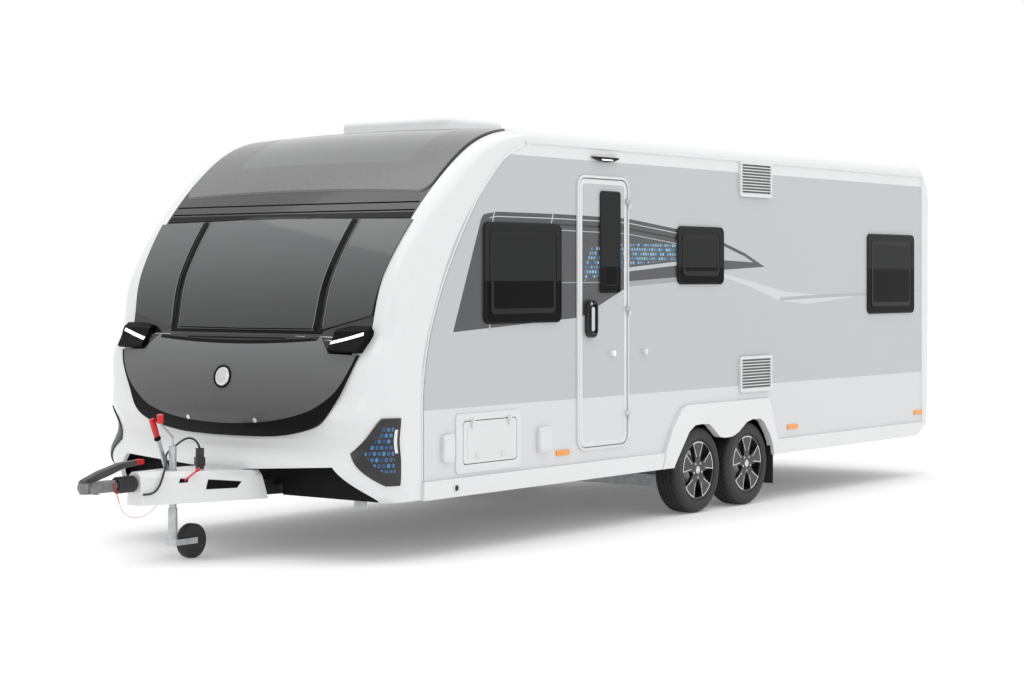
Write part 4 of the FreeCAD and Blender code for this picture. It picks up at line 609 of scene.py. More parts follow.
def strip_rows(edge_a, edge_b, along_count):
    """Three rows from one line of (y, z) points to another, evenly spaced along them."""
    def spaced(line):
        lengths = [0.0]
        for a, b in zip(line, line[1:]):
            lengths.append(lengths[-1] + math.dist(a, b))
        result = []
        for step in range(along_count + 1):
            want = lengths[-1] * step / along_count
            k = max(n for n in range(len(line) - 1) if lengths[n] <= want + 1e-9)
            share = (want - lengths[k]) / (lengths[k + 1] - lengths[k])
            result.append(tuple(p + share * (s - p) for p, s in zip(line[k], line[k + 1])))
        return result
    first, last = spaced(edge_a), spaced(edge_b)
    return [[tuple(p + share * (s - p) for p, s in zip(a, b)) for a, b in zip(first, last)]
            for share in (0.0, 0.5, 1.0)]


smoke = finish("smoke_acrylic", (0.030, 0.031, 0.032), 0.08, spread=0.15, grain=2.0, bump=0.00003)
# Painted reflection: the smoke-grey panes turn lighter grey towards the top.
reflection_rise = maths(smoke, "SUBTRACT", xyz(smoke)[2], reflection_foot)
tint(smoke, maths(smoke, "MULTIPLY", reflection_rise, reflection_fade), (0.125, 0.127, 0.130))
dress(smoke, "front_windows")
gloss_black = finish("gloss_black", (0.0035, 0.0035, 0.004), 0.12, spread=0.1, grain=8.0, bump=0.00005,
                     shine=0.12)
polished_edge = finish("polished_edge", (0.20, 0.205, 0.21), 0.2, spread=0.08, grain=30.0, bump=0.00005)
front_tree = surface_of("front_panel")
pane_tree = surface_of("front_windows")
for side_name, side in both_sides:
    inner_edge = [(side * y, z) for y, z in pillar_inner_edge]
    outer_edge = [(side * y, z) for y, z in pillar_outer_edge]
    draped("front_pillar_" + side_name, strip_rows(inner_edge, outer_edge, 24), pillar_lift, pillar_thick,
           gloss_black, [front_tree, pane_tree])
    for line_name, pillar_edge, away in (("inner", inner_edge, -side), ("outer", outer_edge, side)):
        near = [(y + away * polish_from, z) for y, z in pillar_edge]
        far = [(y + away * polish_to, z) for y, z in pillar_edge]
        draped("pane_%s_edge_%s" % (line_name, side_name), strip_rows(near, far, 24), polish_lift,
               polish_thick, polished_edge, [front_tree, pane_tree])
draped("window_top_strip", strip_rows([(-1.0, 1.975), (0.0, 1.985), (1.0, 1.975)],
                                      [(-1.0, 2.010), (0.0, 2.012), (1.0, 2.010)], 40),
       strip_lift, strip_thick, gloss_black, [front_tree, pane_tree])
draped("window_foot_strip", strip_rows([(-0.62, 1.300), (0.0, 1.300), (0.62, 1.300)],
                                       [(-0.62, 1.330), (0.0, 1.326), (0.62, 1.330)], 40),
       foot_strip_lift, strip_thick, gloss_black, [front_tree, pane_tree])

# The sunroof: a charcoal gloss surround with a fine metallic fleck, bonded into the front end's top, and a
# tinted pane that is flush with it.
roof_charcoal = finish("roof_charcoal", (0.140, 0.141, 0.144), 0.22, spread=0.1, grain=600.0, bump=0.00005)
dress(roof_charcoal, "sunroof_panel")
roof_glass = finish("roof_glass", (0.165, 0.167, 0.170), 0.08, spread=0.05, grain=2.0, bump=0.00003)
dress(roof_glass, "sunroof_glass")

# The locker lid: charcoal gloss moulding, darker towards its foot, with black along the hinge, a plain round
# cap, two small locks and a matt black lip. It is hinged along the top on two pins.
lid_fade_foot, lid_fade = 0.75, 1.7
band_middle_height, band_rise_share = 1.236, 0.063
band_half, corner_half = 0.645, 0.757
corner_slope, corner_start = -0.99, 1.9416
band_reach, band_reach_upper = 0.64, 0.40
band_lift, band_thick = 0.0008, 0.003
band_taper = 0.004
cap_height = 1.044
lock_beside, lock_height = 0.274, 0.795
cap_profile = [(0.0, 0.012), (0.040, 0.011), (0.052, 0.008), (0.058, 0.003), (0.060, -0.004), (0.0, -0.004)]
cap_ring_profile = [(0.060, -0.004), (0.061, 0.007), (0.066, 0.008), (0.069, 0.004), (0.069, -0.004)]
lock_profile = [(0.0, 0.006), (0.008, 0.006), (0.010, 0.003), (0.014, 0.002), (0.015, -0.003), (0.0, -0.003)]


def turned(name, profile, centre, axis, material, body="shell", segments=48, shape=None):
    """A turned piece: (radius, distance along the axis) points, closed on the axis or on themselves."""
    axis = Vector(axis).normalized()
    side = axis.orthogonal().normalized()
    other = axis.cross(side)
    vertices = []
    for number, (radius, distance) in enumerate(profile):
        for step in range(segments):
            turn = 2 * math.pi * step / segments
            reach = radius + (shape(number, step) if shape else 0.0)
            out = side * math.cos(turn) + other * math.sin(turn)
            vertices.append(Vector(centre) + axis * distance + out * reach)
    faces = []
    hollow = min(profile[0][0], profile[-1][0]) > 1e-6
    rings = len(profile)
    for a in range(rings if hollow else rings - 1):
        b = (a + 1) % rings
        for step in range(segments):
            after = (step + 1) % segments
            faces.append((a * segments + step, a * segments + after, b * segments + after,
                          b * segments + step))
    piece = mesh_piece(name, vertices, faces, material, body)
    form = bmesh.new()
    form.from_mesh(piece.data)
    bmesh.ops.remove_doubles(form, verts=form.verts, dist=1e-6)
    bmesh.ops.recalc_face_normals(form, faces=form.faces)
    form.to_mesh(piece.data)
    form.free()
    return piece


lid_grey = finish("lid_grey", (0.044, 0.044, 0.045), 0.22, spread=0.1, grain=600.0, bump=0.00005)
lid_at = xyz(lid_grey)
lid_side, lid_height = maths(lid_grey, "ABSOLUTE", lid_at[1]), lid_at[2]
lid_rise = maths(lid_grey, "SUBTRACT", lid_height, lid_fade_foot)
tint(lid_grey, maths(lid_grey, "MULTIPLY", lid_rise, lid_fade), (0.135, 0.137, 0.140))
lid_side_square = maths(lid_grey, "MULTIPLY", lid_side, lid_side)
band_foot = maths(lid_grey, "MULTIPLY_ADD", lid_side_square, band_rise_share, band_middle_height)
on_band = every(lid_grey, over(lid_grey, lid_height, band_foot), under(lid_grey, lid_side, band_half))
corner_foot = maths(lid_grey, "MULTIPLY_ADD", lid_side, corner_slope, corner_start)
on_corner = every(lid_grey, over(lid_grey, lid_height, corner_foot),
                  within(lid_grey, lid_side, band_half, corner_half))
tint(lid_grey, maths(lid_grey, "MAXIMUM", on_band, on_corner), (0.004, 0.004, 0.0045))
dress(lid_grey, "locker_lid")
lip_black = finish("lip_black", (0.003, 0.003, 0.0035), 0.45, spread=0.1, grain=90.0, bump=0.0003,
                   shine=0.08)
dress(lip_black, "locker_lip", "front_lamps")
bright_metal = finish("bright_metal", (0.62, 0.62, 0.63), 0.18, metal=1.0, spread=0.05, grain=60.0,
                      bump=0.0001)
lid_tree = surface_of("locker_lid")
lip_tree = surface_of("locker_lip")
for band_name, foot, crest, rise, reach in (("lower", 1.238, 1.258, 0.024, band_reach),
                                            ("upper", 1.267, 1.276, 0.004, band_reach_upper)):
    places = [step / 10 * reach for step in range(-10, 11)]
    band_low = [(y, foot + rise * (y / band_reach) ** 2) for y in places]
    band_high = [(y, crest + (rise - band_taper) * (y / band_reach) ** 2) for y in places]
    draped("lid_%s_band" % band_name, strip_rows(band_low, band_high, 40), band_lift, band_thick, lip_black,
           [lid_tree], "locker")
cap_at, cap_out = on_surface([lid_tree, lip_tree], 0.0, cap_height)
turned("lid_cap", cap_profile, cap_at, cap_out, bright_metal, "locker")
turned("lid_cap_ring", cap_ring_profile, cap_at, cap_out, gloss_black, "locker")
for side_name, side in both_sides:
    lock_at, lock_out = on_surface([lid_tree, lip_tree], side * lock_beside, lock_height)
    turned("lid_lock_" + side_name, lock_profile, lock_at, lock_out, bright_metal, "locker", 24)

# Front lamps: black plastic housings screwed on at the windows' lower outer corners. Each has a slanted,
# bright white light strip set in its face.
strip_foot_edge = [(0.768, 1.243), (0.872, 1.266), (0.982, 1.296)]
strip_top_edge = [(0.766, 1.260), (0.870, 1.284), (0.979, 1.314)]
light_lift, light_thick = 0.003, 0.008
led_white = finish("led_white", (0.9, 0.9, 0.9), 0.15, spread=0.01, grain=50.0, bump=0.0001, glow=0.7)
lamp_tree = surface_of("front_lamps")
for side_name, side in both_sides:
    low = [(side * y, z) for y, z in strip_foot_edge]
    high = [(side * y, z) for y, z in strip_top_edge]
    draped("light_strip_" + side_name, strip_rows(low, high, 16), light_lift, light_thick, led_white,
           [lamp_tree, front_tree])

# Corner grilles: black plastic frames clipped into the front end's lower corners, each with a screen of blue
# dots in generic staggered rows and a white strip down its outer side.
screen_point, screen_middle = 1.020, 0.629
upper_slope, lower_slope = 1.90, -1.10
screen_foot, screen_top = 0.520, 0.780
screen_rear = 2.834
strip_foot, strip_top = 0.629, 0.763
strip_rear, strip_front = 2.806, 2.825
dot_pitch = 0.034
screen_turn = 0.8
grille_face = finish("grille_face", (0.012, 0.012, 0.013), 0.3, grain=80.0, bump=0.0003)
grille_at = xyz(grille_face)
grille_side = maths(grille_face, "ABSOLUTE", grille_at[1])
past_point = maths(grille_face, "SUBTRACT", grille_side, screen_point)
upper_line = maths(grille_face, "MULTIPLY_ADD", past_point, upper_slope, screen_middle)
lower_line = maths(grille_face, "MULTIPLY_ADD", past_point, lower_slope, screen_middle)
on_screen = every(grille_face, within(grille_face, grille_at[2], lower_line, upper_line),
                  within(grille_face, grille_at[2], screen_foot, screen_top),
                  over(grille_face, grille_at[0], screen_rear))
tint(grille_face, every(grille_face, within(grille_face, grille_at[2], strip_foot, strip_top),
                        within(grille_face, grille_at[0], strip_rear, strip_front)), (0.68, 0.685, 0.69))
screen_across = maths(grille_face, "SUBTRACT", grille_side,
                      maths(grille_face, "MULTIPLY", grille_at[0], screen_turn))
screen_mask, screen_blue = dots(grille_face, screen_across, grille_at[2], dot_pitch, (0.01, 0.04, 0.10),
                                (0.05, 0.20, 0.42))
tint(grille_face, every(grille_face, on_screen, screen_mask), screen_blue)
dress(grille_face, "corner_grilles")

# Drawbar fittings: the jockey wheel's crank knob and the brake lever's grip in red plastic, a black collar,
# and two slots in the cover with a red release lever. The coupling is painted cast iron, bolted to its shaft.
knob_place = (along(0.596), 0.0, 0.794)
knob_profile = [(0.0, 0.0545), (0.010, 0.0540), (0.017, 0.0510), (0.0202, 0.042), (0.0208, 0.024),
                (0.0202, 0.006), (0.0188, -0.001), (0.0, -0.001)]
lever_foot, lever_top = Vector((along(0.722), -0.047, 0.440)), Vector((along(0.576), -0.047, 0.812))
sleeve_sides = 24
slot_foot_edge, slot_top_edge = [(0.187, 0.413), (0.251, 0.411)], [(0.183, 0.468), (0.253, 0.446)]
lever_slot_foot_edge = [(0.127, 0.457), (0.143, 0.459)]
lever_slot_top_edge = [(0.127, 0.483), (0.143, 0.475)]
slot_lift, slot_thick = 0.0012, 0.004
release_place, release_way = (along(0.652), 0.144, 0.472), (-0.077, 0.028, 0.058)
release_profile = [(0.0, -0.006), (0.0050, -0.005), (0.0050, 0.082), (0.0085, 0.086), (0.0105, 0.094),
                   (0.0105, 0.104), (0.0080, 0.110), (0.0, 0.112)]
red_handle_rear, red_handle_front, red_handle_foot = 3.700, 3.760, 0.470


def lever_sleeve(name, share_a, share_b, wide, deep, material):
    """A rounded sleeve round the brake lever between two shares of its length."""
    way = (lever_top - lever_foot).normalized()
    over_way = Vector((way.z, 0, -way.x))
    turns = [2 * math.pi * k / sleeve_sides for k in range(sleeve_sides)]
    points = []
    for share, grow in ((share_a, 0.86), (share_a + 0.008, 1.0), ((share_a + share_b) / 2, 1.05),
                        (share_b - 0.012, 1.0), (share_b, 0.80)):
        centre = lever_foot.lerp(lever_top, share)
        for turn in turns:
            out = deep * grow * math.copysign(abs(math.cos(turn)) ** 0.6, math.cos(turn))
            across = wide * grow * math.copysign(abs(math.sin(turn)) ** 0.6, math.sin(turn))
            points.append(centre + over_way * out + Vector((0, across, 0)))
    faces = []
    for first in range(0, len(points) - sleeve_sides, sleeve_sides):
        for k in range(sleeve_sides):
            a, b = first + k, first + (k + 1) % sleeve_sides
            faces.append((a, b, b + sleeve_sides, a + sleeve_sides))
    faces += [tuple(range(sleeve_sides)), tuple(range(len(points) - sleeve_sides, len(points)))]
    mesh_piece(name, points, faces, material, angle=50.0)


grip_red = finish("grip_red", (0.55, 0.015, 0.015), 0.35, spread=0.06, grain=120.0, bump=0.0003)
turned("crank_knob", knob_profile, knob_place, (0, 0, 1), grip_red, segments=32)
lever_sleeve("brake_grip", 0.74, 1.015, 0.0125, 0.0175, grip_red)
lever_sleeve("brake_collar", 0.68, 0.74, 0.014, 0.0190, lip_black)
cover_tree = surface_of("drawbar_cover")
draped("cover_slot", strip_rows(slot_foot_edge, slot_top_edge, 12), slot_lift, slot_thick, lip_black,
       [cover_tree])
draped("lever_slot", strip_rows(lever_slot_foot_edge, lever_slot_top_edge, 4), slot_lift, slot_thick,
       lip_black, [cover_tree])
turned("release_lever", release_profile, release_place, release_way, grip_red, segments=20)
cast_black = finish("cast_black", (0.06, 0.06, 0.062), 0.45, metal=0.5, spread=0.2, grain=200.0, bump=0.0006)
cast_at = xyz(cast_black)
tint(cast_black, every(cast_black, within(cast_black, cast_at[0], red_handle_rear, red_handle_front),
                       over(cast_black, cast_at[2], red_handle_foot)), (0.50, 0.014, 0.014))
dress(cast_black, "coupling_handle")
cast_grey = finish("cast_grey", (0.20, 0.20, 0.205), 0.38, metal=0.6, spread=0.2, grain=200.0, bump=0.0006)
dress(cast_grey, "coupling_head")

# Entrance door: a foam-filled leaf in a white frame with a thin dark seal, hung on covered hinges. It has a
# black handle plate with a silver grip and lock, a white retaining knob, and a tall narrow pane.
door_opening = (3.131, 3.676, 0.545, 2.261)
door_radius = 0.060
gap_wide, frame_reach, frame_lap, border_gap, border_wide = 0.0045, 0.020, 0.007, 0.0035, 0.033
seal_deep, seal_face = 1.128, 1.1455
frame_face, frame_bead_outer, frame_bead_inner = 1.149, 1.1505, 1.1530
border_face = 1.1475
knob_top_height = 1.20
plate_opening, plate_radius = (3.196, 3.298, 1.250, 1.480), 0.046
rim_opening, rim_radius = (3.206, 3.288, 1.262, 1.468), 0.038
plate_face, rim_outer, rim_inner = 1.170, 1.1765, 1.1775
grip_opening, grip_radius, grip_deep = (3.230, 3.266, 1.285, 1.440), 0.012, 1.158
lock_opening, lock_radius, lock_deep = (3.219, 3.237, 1.452, 1.470), 0.008, 1.172
handle_face = 1.178
pane_opening, pane_radius, pane_lap = (3.361, 3.586, 1.528, 2.188), 0.026, 0.008
pane_seal_foot, pane_seal_low, pane_seal_high = 1.1462, 1.154, 1.1615
door_blind_opening, door_blind_radius, door_blind_wide = (3.398, 3.549, 1.575, 2.146), 0.012, 0.007
door_blind_face, door_blind_top = 1.1598, 1.1606
round_steps = 8


def side_plate(name, outline, y0, y1, material, body="shell", bevel=0.0):
    """A flat piece on the side: an outline carried from one depth to another."""
    count = len(outline)
    vertices = [(along(q), y, z) for y in (y0, y1) for q, z in outline]
    faces = [tuple(range(count)), tuple(range(count, 2 * count))]
    faces += [(k, (k + 1) % count, (k + 1) % count + count, k + count) for k in range(count)]
    return mesh_piece(name, vertices, faces, material, body, bevel)


dark_line = finish("door_seal", (0.06, 0.06, 0.063), 0.5, grain=100.0, bump=0.0002)
handle_plastic = finish("handle_plastic", (0.018, 0.018, 0.019), 0.4, grain=90.0, bump=0.0004)
tint(handle_plastic, under(handle_plastic, xyz(handle_plastic)[2], knob_top_height), (0.83, 0.835, 0.84))
dress(handle_plastic, "door_handle")
door_edge = inset(door_opening, 0, door_radius, round_steps)
door_gap = inset(door_opening, -gap_wide, door_radius + gap_wide, round_steps)
side_ring("door_seal", door_gap, door_edge, seal_deep, seal_face, seal_face, dark_line)
frame_out = inset(door_opening, -frame_reach, door_radius + frame_reach, round_steps)
frame_in = inset(door_opening, -frame_lap, door_radius + frame_lap, round_steps)
side_ring("door_frame_bead", frame_out, frame_in, frame_face, frame_bead_outer, frame_bead_inner,
          white_plastic, bevel=0.001)
leaf_outer = inset(door_opening, border_gap, door_radius - border_gap, round_steps)
leaf_inner = inset(door_opening, border_wide, door_radius / 2, round_steps)
side_ring("door_leaf_border", leaf_outer, leaf_inner, seal_face, border_face, border_face,
          white_plastic, "door", bevel=0.0006)
handle_plate = inset(plate_opening, 0, plate_radius, round_steps)
handle_rim = inset(rim_opening, 0, rim_radius, round_steps)
side_ring("door_handle_rim", handle_plate, handle_rim, plate_face, rim_outer, rim_inner, gloss_black,
          "door", bevel=0.001)
side_plate("door_handle_grip", inset(grip_opening, 0, grip_radius), grip_deep, handle_face, bright_metal,
           "door", bevel=0.004)
side_plate("door_handle_lock", inset(lock_opening, 0, lock_radius), lock_deep, handle_face, bright_metal,
           "door", bevel=0.002)
pane_out = inset(pane_opening, 0, pane_radius)
pane_in = inset(pane_opening, pane_lap, pane_radius - pane_lap / 2)
side_ring("door_pane_seal", pane_out, pane_in, pane_seal_foot, pane_seal_low, pane_seal_high,
          seal_rubber, "door")
blind_out = inset(door_blind_opening, 0, door_blind_radius)
blind_in = inset(door_blind_opening, door_blind_wide, door_blind_radius - 0.002)
side_ring("door_blind_edge", blind_out, blind_in, door_blind_face, door_blind_top, door_blind_top,
          blind_grey, "door")

# Small parts of the door side, in plastic: amber reflectors stuck on both walls, a raised panel and latches
# on the hatch, faces on the small covers, a round mains socket, and the awning light over the door.
reflector_places = ((2.885, 3.026), (5.814, 5.965), (7.905, 8.050))
reflector_foot, reflector_top, reflector_face = 0.510, 0.544, 1.149
hatch_panel, hatch_face, hatch_panel_face = (1.975, 2.427, 0.552, 0.748), 1.148, 1.1495
latch_places, latch_half, latch_foot, latch_top, latch_face = (2.075, 2.327), 0.022, 0.560, 0.582, 1.156
cover_places = ((1.736, 1.844, 0.547, 0.710), (2.681, 2.814, 0.547, 0.703))
cover_border, cover_foot_border, cover_top_border = 0.010, 0.012, 0.028
cover_deep, cover_face = 1.1615, 1.165
socket_place = (along(1.859), 1.158, 0.392)
socket_rim_profile = [(0.026, 0.0), (0.027, 0.004), (0.022, 0.006), (0.018, 0.004), (0.018, 0.0)]
socket_face_profile = [(0.0, 0.003), (0.017, 0.003), (0.018, 0.0), (0.0, 0.0)]
awning_lamp = [(3.260, 2.405), (3.570, 2.405), (3.545, 2.392), (3.480, 2.377), (3.420, 2.373),
               (3.355, 2.377), (3.290, 2.392)]
awning_lens = (3.355, 3.480, 2.383, 2.391)
amber = finish("amber_lens", (0.85, 0.30, 0.03), 0.2, spread=0.06, grain=300.0, bump=0.0004, coat=0.3)
for side_name, side in both_sides:
    for number, (q0, q1) in enumerate(reflector_places):
        side_plate("amber_reflector_%s_%d" % (side_name, number),
                   rounded_rect(q0, q1, reflector_foot, reflector_top, 0.006),
                   side * (wall_face + skin), side * reflector_face, amber, bevel=0.002)
side_plate("hatch_lid_line", inset(hatch_panel, 0, 0.014), hatch_face, hatch_panel_face, white_plastic,
           bevel=0.0008)
for q in latch_places:
    latch = rounded_rect(q - latch_half, q + latch_half, latch_foot, latch_top, 0.006)
    side_plate("hatch_latch_%d" % round(q * 1000), latch, hatch_face, latch_face, white_plastic, "hatch",
               bevel=0.002)
for q0, q1, z0, z1 in cover_places:
    outline = rounded_rect(q0 + cover_border, q1 - cover_border, z0 + cover_foot_border,
                           z1 - cover_top_border, 0.010)
    side_plate("cover_face_%d" % round(q0 * 1000), outline, cover_deep, cover_face, white_plastic,
               bevel=0.0015)
turned("socket_rim", socket_rim_profile, socket_place, (0, 1, 0), white_plastic, segments=32)
turned("socket_face", socket_face_profile, socket_place, (0, 1, 0), seal_rubber, segments=32)
side_plate("awning_lamp_body", awning_lamp, wall_face + skin, 1.168, gloss_black, bevel=0.003)
side_plate("awning_lamp_lens", inset(awning_lens, 0, 0.003), 1.150, 1.170, led_white, bevel=0.001)

# Awning rails: white aluminium sections screwed along each roof edge, round the front joint and down the
# rear corners. A dark line of sealant follows the front rail.
roof_rail_places, roof_rail_height, roof_rail_beside = (2.56, 2.60, 4.0, 6.0, 8.00, 8.05), 2.462, 1.139
roof_rail_thick, joint_rail_thick, sealant_thick = 0.022, 0.018, 0.006
joint_rail_beside, sealant_beside, sealant_behind = 1.1385, 1.1395, 0.012
front_joint = [(1.563, 0.455), (1.563, 0.80), (1.563, 1.035), (1.636, 1.349), (1.803, 1.700), (2.057, 2.079),
               (2.176, 2.198), (2.276, 2.293), (2.380, 2.383), (2.560, 2.445)]
rear_joint = [(8.052, 2.455), (8.052, 2.30), (8.052, 1.20), (8.052, 0.46)]
rod_smoothness = 6
rail_white = finish("rail_white", (0.68, 0.685, 0.69), 0.3, metal=0.1, spread=0.02, grain=30.0, bump=0.0001)
for side_name, side in both_sides:
    for rail_name, line, thick, beside_wall, material in (
            ("awning_rail_", [(q, roof_rail_height) for q in roof_rail_places], roof_rail_thick,
             roof_rail_beside, rail_white),
            ("front_joint_rail_", front_joint, joint_rail_thick, joint_rail_beside, rail_white),
            ("front_joint_line_", [(q + sealant_behind, z) for q, z in front_joint], sealant_thick,
             sealant_beside, seal_rubber),
            ("rear_joint_rail_", rear_joint, joint_rail_thick, joint_rail_beside, rail_white)):
        tube(rail_name + side_name, [(along(q), side * beside_wall, z) for q, z in line], thick, material,
             smoothness=rod_smoothness)

# Road wheels: tyres with a five-rib tread and raised bead rings, on black alloy rims whose five windows have
# bright machined edges, with a silver centre cap. Each rim is bolted to its hub with five bolts.
axle_places = (("front", 4.600), ("rear", 5.262))
hub_beside, hub_height = 1.0375, 0.298
rim_face = 0.0842
spokes = 5
bolt_circle = 0.052
rubber_profile = [(0.2085, -0.083), (0.214, -0.0905), (0.228, -0.0925), (0.250, -0.0918), (0.272, -0.088),
                  (0.286, -0.080), (0.2945, -0.067), (0.2965, -0.058), (0.2970, -0.048), (0.2910, -0.046),
                  (0.2910, -0.040), (0.2975, -0.038), (0.2980, -0.018), (0.2915, -0.016), (0.2915, -0.008),
                  (0.2980, -0.006), (0.2980, 0.006), (0.2915, 0.008), (0.2915, 0.016), (0.2980, 0.018),
                  (0.2975, 0.038), (0.2910, 0.040), (0.2910, 0.046), (0.2970, 0.048), (0.2965, 0.058),
                  (0.2945, 0.067), (0.286, 0.080), (0.272, 0.088), (0.258, 0.0915), (0.254, 0.0924),
                  (0.240, 0.0924), (0.236, 0.0915), (0.222, 0.0922), (0.214, 0.0905), (0.2085, 0.083)]
shoulder_groove, rib_groove = -0.006, -0.004
cap_turning = [(0.0, 0.004), (0.020, 0.003), (0.026, 0.0), (0.028, -0.006), (0.0, -0.006)]
lip_turning = [(0.2065, -0.004), (0.2075, 0.001), (0.2045, 0.002), (0.2005, -0.003)]
bolt_profile = [(0.0, 0.001), (0.008, 0.001), (0.010, -0.003), (0.0, -0.003)]
window_outer = [(0.090, -0.021), (0.183, -0.066), (0.193, -0.034), (0.195, 0.0), (0.193, 0.034),
                (0.183, 0.066), (0.090, 0.021)]
window_inner = [(0.092, -0.016), (0.177, -0.057), (0.186, -0.032), (0.188, 0.0), (0.186, 0.032),
                (0.177, 0.057), (0.092, 0.016)]
edge_loops = ((-0.004, window_outer), (0.0012, window_outer), (0.0012, window_inner), (-0.010, window_inner))


def tread(number, step):
    """How deep the tread's cross grooves are at a ring of the profile and a step round the tyre."""
    if (6 <= number <= 8 or 23 <= number <= 25) and step % 4 == 0:
        return shoulder_groove
    if (11 <= number <= 12 or 19 <= number <= 20) and step % 4 == 2:
        return rib_groove
    return 0.0


def bright_edges(name, hub, side, body):
    """The machined edges round the rim's windows, one open band for each."""
    vertices, faces = [], []
    count = len(window_outer)
    for number in range(spokes):
        turn = math.radians(90 + 360 / spokes * number)
        out = Vector((math.cos(turn) * -side, 0, math.sin(turn)))
        over_way = Vector((-math.sin(turn) * -side, 0, math.cos(turn)))
        start = len(vertices)
        for lift, outline in edge_loops:
            at_face = hub + Vector((0, side * (rim_face + lift), 0))
            vertices += [at_face + out * radius + over_way * across for radius, across in outline]
        for first in range(start, start + (len(edge_loops) - 1) * count, count):
            faces += [(a, a + 1, a + count + 1, a + count) for a in range(first, first + count - 1)]
    mesh_piece(name, vertices, faces, bright_metal, body)


tyre_rubber = finish("tyre_rubber", (0.017, 0.017, 0.0175), 0.6, spread=0.15, grain=80.0, bump=0.0006)
dress(tyre_rubber, "jockey_wheel", "mudflaps", "bellows")
rim_black = finish("rim_black", (0.014, 0.014, 0.015), 0.22, grain=120.0, bump=0.0002)
dress(rim_black, "rim_front_left", "rim_front_right", "rim_rear_left", "rim_rear_right")
for end, q in axle_places:
    for side_name, side in both_sides:
        hub = Vector((along(q), side * hub_beside, hub_height))
        outward = (0, side, 0)
        tag = "_%s_%s" % (end, side_name)
        body = "wheel" + tag
        tyre = turned("road_tyre" + tag, rubber_profile, hub, outward, tyre_rubber, body, 192, tread)
        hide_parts("tyre" + tag)
        turned("wheel_cap" + tag, [(r, rim_face + d) for r, d in cap_turning], hub, outward, bright_metal,
               body, 32)
        turned("rim_lip" + tag, [(r, rim_face + d) for r, d in lip_turning], hub, outward, rim_black, body,
               96)
        bright_edges("rim_bright_edges" + tag, hub, side, body)
        for number in range(spokes):
            turn = math.radians(54 + 360 / spokes * number)
            bolt_at = hub + Vector((math.cos(turn) * bolt_circle, side * rim_face,
                                    math.sin(turn) * bolt_circle))
            turned("wheel_bolt%s_%d" % (tag, number), bolt_profile, bolt_at, outward, zinc, body, 6)

# Rear end: upright plastic lamp clusters in white bezels with an amber and a clear band, a blank number
# plate, two grab handles, a high brake light and the window's rubber seal, all screwed or bonded on.
amber_foot, amber_top, clear_foot, clear_top = 0.760, 0.850, 0.655, 0.745
lens_pitch, lens_line = 0.105, 0.05
rear_lamp_inner, rear_lamp_outer = 0.835, 0.965
rear_lamp_foot, rear_lamp_top = 0.640, 1.080
bezel_reach, bezel_lap = 0.016, 0.004
grab_line = ((0.990, 1.300), (1.005, 1.225), (1.005, 1.175), (0.990, 1.100))
grab_foot_reach, grab_reach, grab_thick = 0.026, 0.032, 0.022
marker_foot_edge, marker_top_edge = ((0.985, 2.330), (1.040, 2.322)), ((0.985, 2.352), (1.040, 2.344))
plate_half, plate_foot, plate_top = 0.26, 0.560, 0.672
brake_light_half, brake_light_foot, brake_light_top = 0.19, 2.300, 2.322
rear_seal_outer, rear_seal_inner = (-0.788, 0.788, 1.338, 1.983), (-0.772, 0.772, 1.354, 1.967)
rear_bead_outer, rear_bead_inner = (-0.730, 0.730, 1.396, 1.925), (-0.718, 0.718, 1.408, 1.913)
forwards = (1, 0, 0)


def ring_rows(outer, inner):
    """Two closed rows for a sheet that runs round between two outlines."""
    return [outer + outer[:1], inner + inner[:1]]


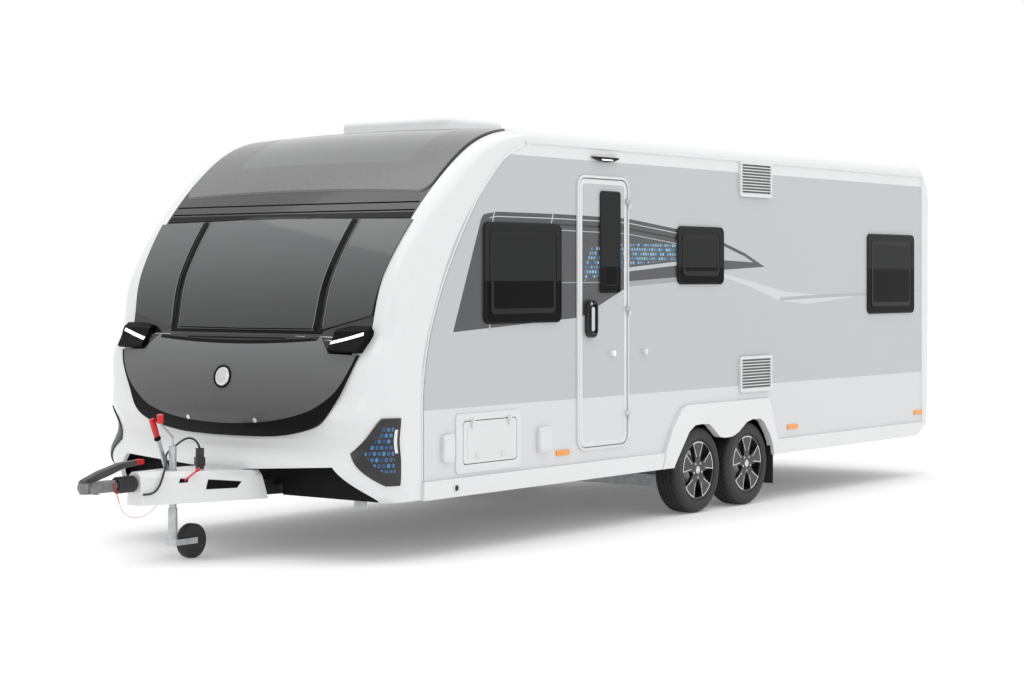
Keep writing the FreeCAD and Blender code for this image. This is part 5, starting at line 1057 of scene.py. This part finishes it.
lens_red = finish("lens_red", (0.5, 0.01, 0.012), 0.15, coat=0.6, grain=200.0, bump=0.0004)
lens_height = xyz(lens_red)[2]
tint(lens_red, within(lens_red, lens_height, amber_foot, amber_top), (0.75, 0.26, 0.02))
tint(lens_red, within(lens_red, lens_height, clear_foot, clear_top), (0.62, 0.63, 0.64))
line_share = maths(lens_red, "FRACT", maths(lens_red, "DIVIDE", lens_height, lens_pitch))
tint(lens_red, within(lens_red, line_share, 0.0, lens_line), (0.03, 0.03, 0.03))
dress(lens_red, "rear_lamps")
rear_tree = surface_of("rear_panel")
rear_pane_tree = surface_of("rear_window")
rear_lamp_tree = surface_of("rear_lamps")
for side_name, side in both_sides:
    lamp = (*sorted((side * rear_lamp_inner, side * rear_lamp_outer)), rear_lamp_foot, rear_lamp_top)
    bezel = ring_rows(inset(lamp, -bezel_reach, 0.030), inset(lamp, bezel_lap, 0.020))
    draped("rear_lamp_bezel_" + side_name, bezel, 0.004, 0.010, white_plastic, [rear_tree, rear_lamp_tree],
           way=forwards)
    grab_hits = [on_surface([rear_tree], side * y, z, forwards) for y, z in grab_line]
    foot_top, bend_top, bend_foot, foot_low = [point for point, normal in grab_hits]
    foot_out, grab_out = Vector((grab_foot_reach, 0, 0)), Vector((grab_reach, 0, 0))
    grab = [foot_top, foot_top - foot_out, bend_top - grab_out, bend_foot - grab_out, foot_low - foot_out,
            foot_low]
    tube("grab_handle_" + side_name, grab, grab_thick, white_plastic, smoothness=rod_smoothness)
    marker = strip_rows([(side * y, z) for y, z in marker_foot_edge],
                        [(side * y, z) for y, z in marker_top_edge], 4)
    draped("rear_marker_" + side_name, marker, 0.006, 0.012, grip_red, [rear_tree], way=forwards)
plate_rows = strip_rows([(-plate_half, plate_foot), (plate_half, plate_foot)],
                        [(-plate_half, plate_top), (plate_half, plate_top)], 12)
draped("number_plate", plate_rows, 0.004, 0.008, white_plastic, [rear_tree], way=forwards)
plate = (-plate_half, plate_half, plate_foot, plate_top)
draped("plate_frame", ring_rows(inset(plate, -0.015, 0.012), inset(plate, -0.002, 0.006)), 0.006, 0.010,
       seal_rubber, [rear_tree], way=forwards)
brake_light_low, brake_light_high = [[(-brake_light_half, z), (brake_light_half, z)]
                                     for z in (brake_light_foot, brake_light_top)]
brake_light_rows = strip_rows(brake_light_low, brake_light_high, 12)
draped("high_brake_light", brake_light_rows, 0.005, 0.012, grip_red, [rear_tree], way=forwards)
draped("rear_window_seal", ring_rows(inset(rear_seal_outer, 0, 0.050), inset(rear_seal_inner, 0, 0.040)),
       0.003, 0.008, seal_rubber, [rear_tree, rear_pane_tree], way=forwards)
draped("rear_window_bead", ring_rows(inset(rear_bead_outer, 0, 0.036), inset(rear_bead_inner, 0, 0.030)),
       0.002, 0.004, blind_grey, [rear_pane_tree], way=forwards)
